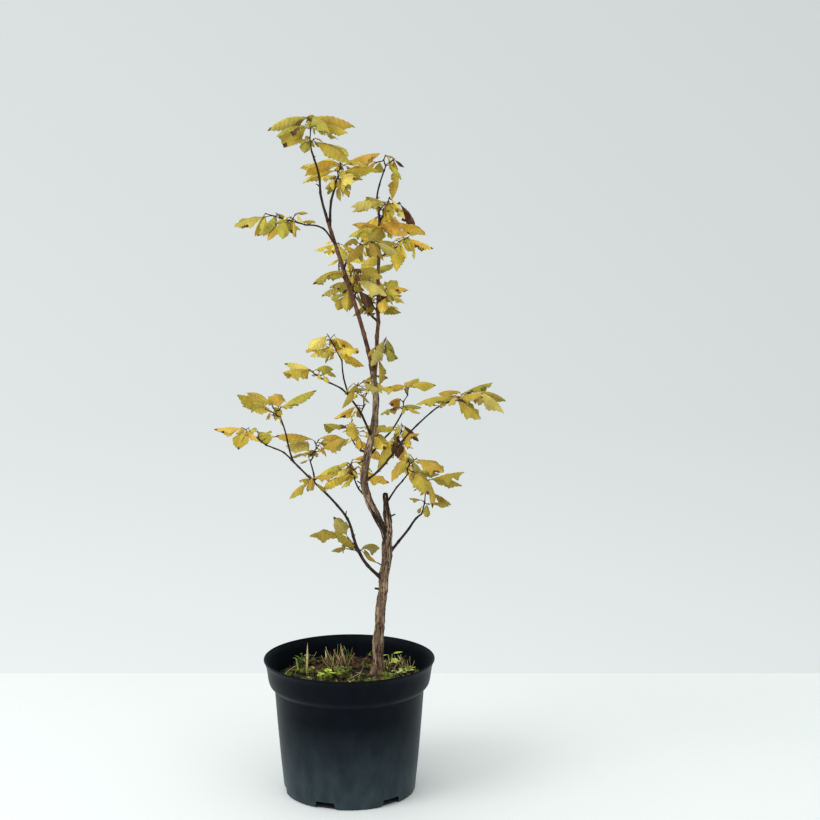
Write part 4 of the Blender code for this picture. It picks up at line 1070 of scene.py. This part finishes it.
def soil_height(x, y):
    """How far the surface lies above the soil's own level: lumpy, and lower at the pot's wall."""
    edge = max(0.0, math.hypot(x, y) - 80) / 17
    lumps = noise.noise(Vector((x * 0.035, y * 0.035, 4.0))) * 2.2
    crumbs = noise.noise(Vector((x * 0.16, y * 0.16, 9.0))) * 1.6
    fine = noise.noise(Vector((x * 0.5, y * 0.5, 2.0))) * 0.8
    return lumps + crumbs + fine - 2.5 * edge**2 + 3.0 * (1 - (math.hypot(x, y) / 95) ** 2) - 1.5


def soil_spot(rng, reach):
    """A place on the soil, clear of the trunk."""
    while True:
        radius, angle = reach * math.sqrt(rng.random()), rng.uniform(0, math.tau)
        x, y = radius * math.cos(angle), radius * math.sin(angle)
        if math.hypot(x - TRUNK_FOOT[0], y - TRUNK_FOOT[1]) > TRUNK_CLEARING:
            return np.array((x, y, SOIL_HEIGHT + soil_height(x, y)))


def build_soil():
    rng = random.Random(5)
    ground = Shape()
    rings, around = 72, 160
    points = []
    for i in range(rings + 1):
        radius = max(0.3, SOIL_RADIUS * i / rings)
        for k in range(around):
            angle = math.tau * k / around
            x, y = radius * math.cos(angle), radius * math.sin(angle)
            points.append((x, y, SOIL_HEIGHT + soil_height(x, y)))
    ground.add(points, grid_faces(rings + 1, around, closed=True))
    kinds = {name: Shape() for name, *_ in SOIL_FINISHES[1:]}
    for _ in range(1900):
        spot = soil_spot(rng, 93)
        cover = noise.noise(Vector((spot[0] * 0.05, spot[1] * 0.05, 1.0))) + rng.uniform(-0.2, 0.2)
        if spot[1] > 25:
            cover -= 0.2
        if cover > 0.2:
            cushion(kinds["bright_moss"], rng, spot, rng.uniform(2.5, 8.0))
        elif cover > 0.02:
            cushion(kinds["dark_moss"], rng, spot, rng.uniform(2.5, 7.0))
        else:
            pebble(kinds["crumbs"], rng, spot, rng.uniform(0.8, 2.8))
    for _ in range(LITTER):
        scattered_leaf(kinds["litter"], rng, soil_spot(rng, 86), rng.uniform(8, 17), rng.uniform(-0.2, 0.7))
    for name, count, shortest, longest, steepest in STALKS:
        for _ in range(count):
            stalk(kinds[name], rng, soil_spot(rng, 86), rng.uniform(shortest, longest), steepest)
    for name, x, y, count, length, lean in TUFTS:
        for _ in range(count):
            near = np.array((x + rng.gauss(0, 6), y + rng.gauss(0, 6), 0.0))
            near[2] = SOIL_HEIGHT + soil_height(near[0], near[1])
            stalk(kinds[name], rng, near, length * rng.uniform(0.6, 1.1), 1.5, 1.5 - lean)
    for x, y, size, count, lift, breadth, kind in WEEDS:
        spot = np.array((x, y, SOIL_HEIGHT + soil_height(x, y)))
        for k in range(count):
            azimuth = k * 2.4 + rng.uniform(-0.3, 0.3)
            length = size * rng.uniform(0.6, 1.1)
            out = heading(azimuth, 0.0) * size * rng.uniform(0.0, 0.6)
            start = spot + out + np.array((0, 0, rng.uniform(0.3, 1.0) * size * lift))
            small = Leaf(start, azimuth, rng.uniform(0.1, 0.9), 1.0, 0.1, rng.uniform(-0.3, 0.3), 0.25, length,
                         length * breadth * rng.uniform(0.8, 1.2), rng.random())
            kinds[kind].add(*plain_blade(small))
            kinds[kind].add(*tube(np.linspace(spot, start, 4), np.linspace(0.5, 0.35, 4), 5))
    for x, y, azimuth, climb, droop, length, width, kind in LONG_LEAVES:
        foot = np.array((x, y, SOIL_HEIGHT + soil_height(x, y) - 1.0))
        kinds[kind].add(*plain_blade(Leaf(foot, math.radians(azimuth), climb, droop, 0.1, 0.3, 0.4, length, width, 0.5)))
    name, pale, dark, scale, bump = SOIL_FINISHES[0]
    compost = finish(name, colour_of(*pale), colour_of(*dark), scale, 0.95, bump=bump, bump_scale=scale * 2.5)
    ground.piece("compost_surface", [compost], "soil", ["root_ball"])
    for name, pale, dark, scale, bump in SOIL_FINISHES[1:]:
        cover = finish(name, colour_of(*pale), colour_of(*dark), scale, 0.85, bump=bump, bump_scale=scale * 3)
        kinds[name].piece(name, [cover], "soil", (), smooth=name != "crumbs")


TRUNK_CLEARING = 11.0
LITTER = 120

# The soil's own finish and its cover's: pale and dark colours, the size of their pattern and its relief
SOIL_FINISHES = (
    ("compost", (40, 30, 16), (10, 8, 4), 300.0, 1.0),
    ("bright_moss", (150, 156, 52), (70, 80, 20), 200.0, 0.3),
    ("dark_moss", (78, 84, 26), (26, 30, 8), 200.0, 0.3),
    ("crumbs", (74, 50, 28), (20, 15, 8), 200.0, 0.4),
    ("litter", (112, 68, 38), (42, 27, 15), 200.0, 0.2),
    ("straw", (208, 186, 132), (150, 124, 76), 200.0, 0.1),
    ("old_stalks", (132, 92, 62), (58, 38, 24), 200.0, 0.1),
    ("seedlings", (150, 172, 70), (70, 96, 34), 200.0, 0.1),
    ("lime", (206, 222, 84), (150, 172, 50), 160.0, 0.2),
    ("pale", (210, 214, 140), (154, 160, 84), 160.0, 0.2),
)

# Loose stalks: how many, their shortest and longest, and how steep they may stand
STALKS = (("straw", 40, 8.0, 26.0, 1.2), ("old_stalks", 70, 6.0, 22.0, 1.2), ("seedlings", 20, 6.0, 12.0, 1.4))

# Tufts of standing stalks: their kind, place, number, length and how far they lean
TUFTS = (
    ("old_stalks", -26.0, 22.0, 14, 24.0, 0.6),
    ("old_stalks", -6.0, 24.0, 13, 26.0, 0.5),
    ("straw", -16.0, 34.0, 9, 30.0, 0.5),
    ("seedlings", -8.0, 48.0, 8, 30.0, 0.3),
    ("straw", 68.0, 58.0, 9, 18.0, 0.9),
    ("straw", 50.0, 20.0, 5, 18.0, 0.7),
    ("old_stalks", 62.0, 50.0, 10, 17.0, 0.9),
)

# Weeds: their place, size, number of leaves, how far they stand up, their leaves' breadth and colour
WEEDS = (
    (-64.0, 52.0, 11.0, 9, 1.2, 0.35, "seedlings"),
    (-66.0, 36.0, 10.0, 9, 0.7, 0.4, "dark_moss"),
    (-48.0, 50.0, 10.0, 8, 1.0, 0.4, "dark_moss"),
    (-29.0, -6.0, 11.0, 9, 0.5, 0.85, "lime"),
    (-14.0, 8.0, 8.0, 16, 0.9, 0.5, "seedlings"),
    (-4.0, 16.0, 7.0, 12, 0.9, 0.5, "seedlings"),
    (2.0, -28.0, 6.0, 6, 0.5, 0.6, "pale"),
    (53.0, 34.0, 15.0, 3, 1.5, 0.6, "lime"),
    (48.0, 30.0, 9.0, 4, 1.2, 0.5, "lime"),
    (62.0, 0.0, 11.0, 6, 0.6, 0.7, "pale"),
    (73.0, 8.0, 10.0, 7, 0.6, 0.6, "pale"),
    (48.0, -6.0, 8.0, 9, 0.6, 0.5, "seedlings"),
    (78.0, 26.0, 8.0, 12, 0.8, 0.5, "lime"),
    (64.0, 60.0, 8.0, 5, 0.8, 0.4, "pale"),
    (30.0, -30.0, 7.0, 9, 0.5, 0.5, "seedlings"),
    (-52.0, -20.0, 7.0, 7, 0.4, 0.5, "seedlings"),
)

# Long dead or narrow leaves: foot, azimuth in degrees, climb, droop, length, width and colour
LONG_LEAVES = (
    (-55.0, -8.0, 80, 1.45, 0.2, 46.0, 3.4, "straw"),
    (-36.0, 2.0, 140, 0.7, 0.4, 20.0, 4.0, "pale"),
    (-20.0, 8.0, 150, 0.9, 0.3, 24.0, 2.4, "seedlings"),
    (-30.0, 30.0, 100, 1.2, 0.4, 28.0, 2.2, "pale"),
    (-4.0, 30.0, 130, 1.2, 0.2, 32.0, 2.0, "straw"),
    (-12.0, 40.0, 80, 1.3, 0.2, 28.0, 1.8, "straw"),
    (6.0, 20.0, 110, 1.1, 0.2, 26.0, 2.0, "old_stalks"),
    (56.0, 14.0, 60, 0.9, 0.3, 22.0, 2.0, "straw"),
    (70.0, 44.0, 120, 0.9, 0.3, 20.0, 2.2, "pale"),
    (-66.0, 10.0, 110, 1.2, 0.3, 24.0, 2.4, "seedlings"),
)


def plain_blade(leaf):
    """A small untoothed leaf."""
    left, mid, right = blade(leaf)
    points = np.stack((left, mid, right), 1).reshape(-1, 3)
    return points, grid_faces(LEAF_STEPS + 1, 3)


def scattered_leaf(shape, rng, at, length, climb):
    """A dead, curled leaf on the soil."""
    old = Leaf(at + np.array((0, 0, rng.uniform(0.5, 2.5))), rng.uniform(0, math.tau), climb, rng.uniform(-0.6, 1.6),
               rng.uniform(-0.9, 0.9), rng.uniform(-1.4, 1.4), rng.uniform(-0.7, 0.9), length,
               length * rng.uniform(0.35, 0.6), rng.random())
    shape.add(*plain_blade(old))


def stalk(shape, rng, at, length, steepest, flattest=0.0):
    """A thin dry stalk that lies on the soil or stands up from it, inside the pot."""
    azimuth, climb = rng.uniform(0, math.tau), rng.uniform(flattest, steepest)
    if math.hypot(*(at + heading(azimuth, climb) * length)[:2]) > 90:
        azimuth = math.atan2(-at[1], -at[0])
    way = heading(azimuth, climb) * length
    bend = np.array((rng.uniform(-2, 2), rng.uniform(-2, 2), rng.uniform(-0.5, 2.5)))
    shares = np.linspace(0, 1, 7)[:, None]
    line = at + way * shares + bend * np.sin(shares * math.pi)
    shape.add(*tube(line, np.linspace(0.55, 0.25, 7) * rng.uniform(0.7, 1.3), 5))


def cushion(shape, rng, at, size):
    """A tuft of moss: pointed leaflets that stand out from one spot."""
    for k in range(rng.randint(7, 11)):
        way = heading(k * 2.4 + rng.uniform(-0.4, 0.4), rng.uniform(0.25, 1.4))
        flat = np.array((-way[1], way[0], 0.0)) + np.array([rng.uniform(-0.3, 0.3) for _ in range(3)])
        wide = unit(flat) * size * rng.uniform(0.16, 0.28)
        tip = at + way * size * rng.uniform(0.8, 1.3)
        middle = at + way * size * 0.5 + np.array((0, 0, 0.12 * size))
        shape.add([at - wide * 0.3, at + wide * 0.3, middle + wide, tip, middle - wide, middle * 1.0],
                  [(0, 1, 2, 5), (0, 5, 4), (5, 2, 3), (5, 3, 4)])


def pebble(shape, rng, at, size):
    corners = [(0, 0, 1), (1, 0, 0), (0, 1, 0), (-1, 0, 0), (0, -1, 0), (0, 0, -1)]
    points = [[at[axis] + size * (corner[axis] + rng.uniform(-0.35, 0.35)) * (0.7 if axis == 2 else 1)
               for axis in range(3)] for corner in corners]
    faces = [(0, 1, 2), (0, 2, 3), (0, 3, 4), (0, 4, 1), (5, 2, 1), (5, 3, 2), (5, 4, 3), (5, 1, 4)]
    shape.add(points, faces)


# The studio


def build_studio():
    camera = bpy.data.objects.new("camera", bpy.data.cameras.new("camera"))
    bpy.context.scene.collection.objects.link(camera)
    camera.location = Vector(CAMERA_AT) * MM
    camera.rotation_euler = (math.pi / 2 - CAMERA_PITCH, 0, 0)
    camera.data.sensor_width = SENSOR_WIDTH
    camera.data.lens = SENSOR_WIDTH * FOCAL_PIXELS / PHOTO_SIDE
    bpy.context.scene.camera = camera
    mesh = bpy.data.meshes.new("floor")
    corners = [(x, y, 0.0) for x, y in ((-1, -1), (1, -1), (1, 0), (-1, 0))]
    corners = [(x * FLOOR_REACH * MM, (y * FLOOR_REACH + (y + 1) * FLOOR_EDGE) * MM, z) for x, y, z in corners]
    mesh.from_pydata(corners, [], [(0, 1, 2, 3)])
    floor = bpy.data.objects.new("floor", mesh)
    bpy.context.scene.collection.objects.link(floor)
    mesh.materials.append(finish("floor_white", colour_of(250, 251, 250), colour_of(248, 250, 249), 3.0, 0.7))
    world = bpy.data.worlds.new("studio")
    bpy.context.scene.world = world
    world.use_nodes = True
    nodes, links = world.node_tree.nodes, world.node_tree.links
    way = nodes.new("ShaderNodeTexCoord")
    parts = nodes.new("ShaderNodeSeparateXYZ")
    spread = nodes.new("ShaderNodeMapRange")
    ramp = nodes.new("ShaderNodeValToRGB")
    links.new(way.outputs["Generated"], parts.inputs["Vector"])
    links.new(parts.outputs["Z"], spread.inputs["Value"])
    spread.inputs["From Min"].default_value, spread.inputs["From Max"].default_value = WALL_SPREAD
    links.new(spread.outputs["Result"], ramp.inputs["Fac"])
    ramp.color_ramp.elements.new(WALL_BEND)
    for element, rgb in zip(ramp.color_ramp.elements, WALL_COLOURS):
        element.color = (*colour_of(*rgb), 1)
    links.new(ramp.outputs["Color"], nodes["Background"].inputs["Color"])
    front = nodes.new("ShaderNodeMapRange")
    front.inputs["From Min"].default_value, front.inputs["From Max"].default_value = -0.7, 0.1
    front.inputs["To Min"].default_value = FRONT_STRENGTH
    links.new(parts.outputs["Y"], front.inputs["Value"])
    sideways = nodes.new("ShaderNodeMapRange")
    sideways.inputs["From Min"].default_value, sideways.inputs["From Max"].default_value = -0.9, 0.9
    sideways.inputs["To Min"].default_value, sideways.inputs["To Max"].default_value = SIDE_STRENGTHS
    links.new(parts.outputs["X"], sideways.inputs["Value"])
    both = nodes.new("ShaderNodeMath")
    both.operation = "MULTIPLY"
    links.new(front.outputs["Result"], both.inputs[0])
    links.new(sideways.outputs["Result"], both.inputs[1])
    links.new(both.outputs["Value"], nodes["Background"].inputs["Strength"])
    bpy.context.scene.view_settings.view_transform = "Standard"
    for name, at, size, power in LAMPS:
        light = bpy.data.lights.new(name, "AREA")
        light.shape = "DISK"
        light.size = size * MM
        light.energy = power
        lamp = bpy.data.objects.new(name, light)
        bpy.context.scene.collection.objects.link(lamp)
        lamp.location = Vector(at) * MM
        lamp.rotation_euler = (Vector((0, 0, 450)) * MM - lamp.location).to_track_quat("-Z", "Y").to_euler()


FLOOR_REACH = 4000.0
FLOOR_EDGE = 510.0
WALL_COLOURS = ((229, 235, 234), (216, 222, 221), (210, 216, 215))
WALL_BEND = 0.37
WALL_SPREAD = (-0.287, 0.077)
FRONT_STRENGTH = 1.75
SIDE_STRENGTHS = (1.26, 0.81)
LAMPS = (("key", (-1400.0, -1000.0, 1600.0), 1300.0, 15.0), ("fill", (1200.0, -1300.0, 900.0), 1400.0, 1.5))


def main():
    build_studio()
    curves = limb_curves()
    limbs = limb_clouds(curves)
    growths, roots, others = {}, {}, []
    for spray in SPRAYS:
        roots[spray.name] = point_on(curves[spray.limb], spray.at)
        growths[spray.name], taken = kept_growth(spray, roots[spray.name], limbs, others)
        others += taken
    fine_twigs, leaves = [], [(name, leaf) for name, growth in growths.items() for leaf in growth.leaves]
    for name in FINE_TWIGS:
        spray = next(spray for spray in SPRAYS if spray.name == name)
        twigs, small_leaves, taken = fine_growth(spray, roots[name], growths[name], limbs, others)
        fine_twigs += twigs
        leaves += [(name, leaf) for leaf in small_leaves]
        others += taken
    build_limbs(curves)
    build_twigs(growths.values(), fine_twigs, leaves)
    build_leaves(leaves)
    build_pot()
    build_soil()


main()
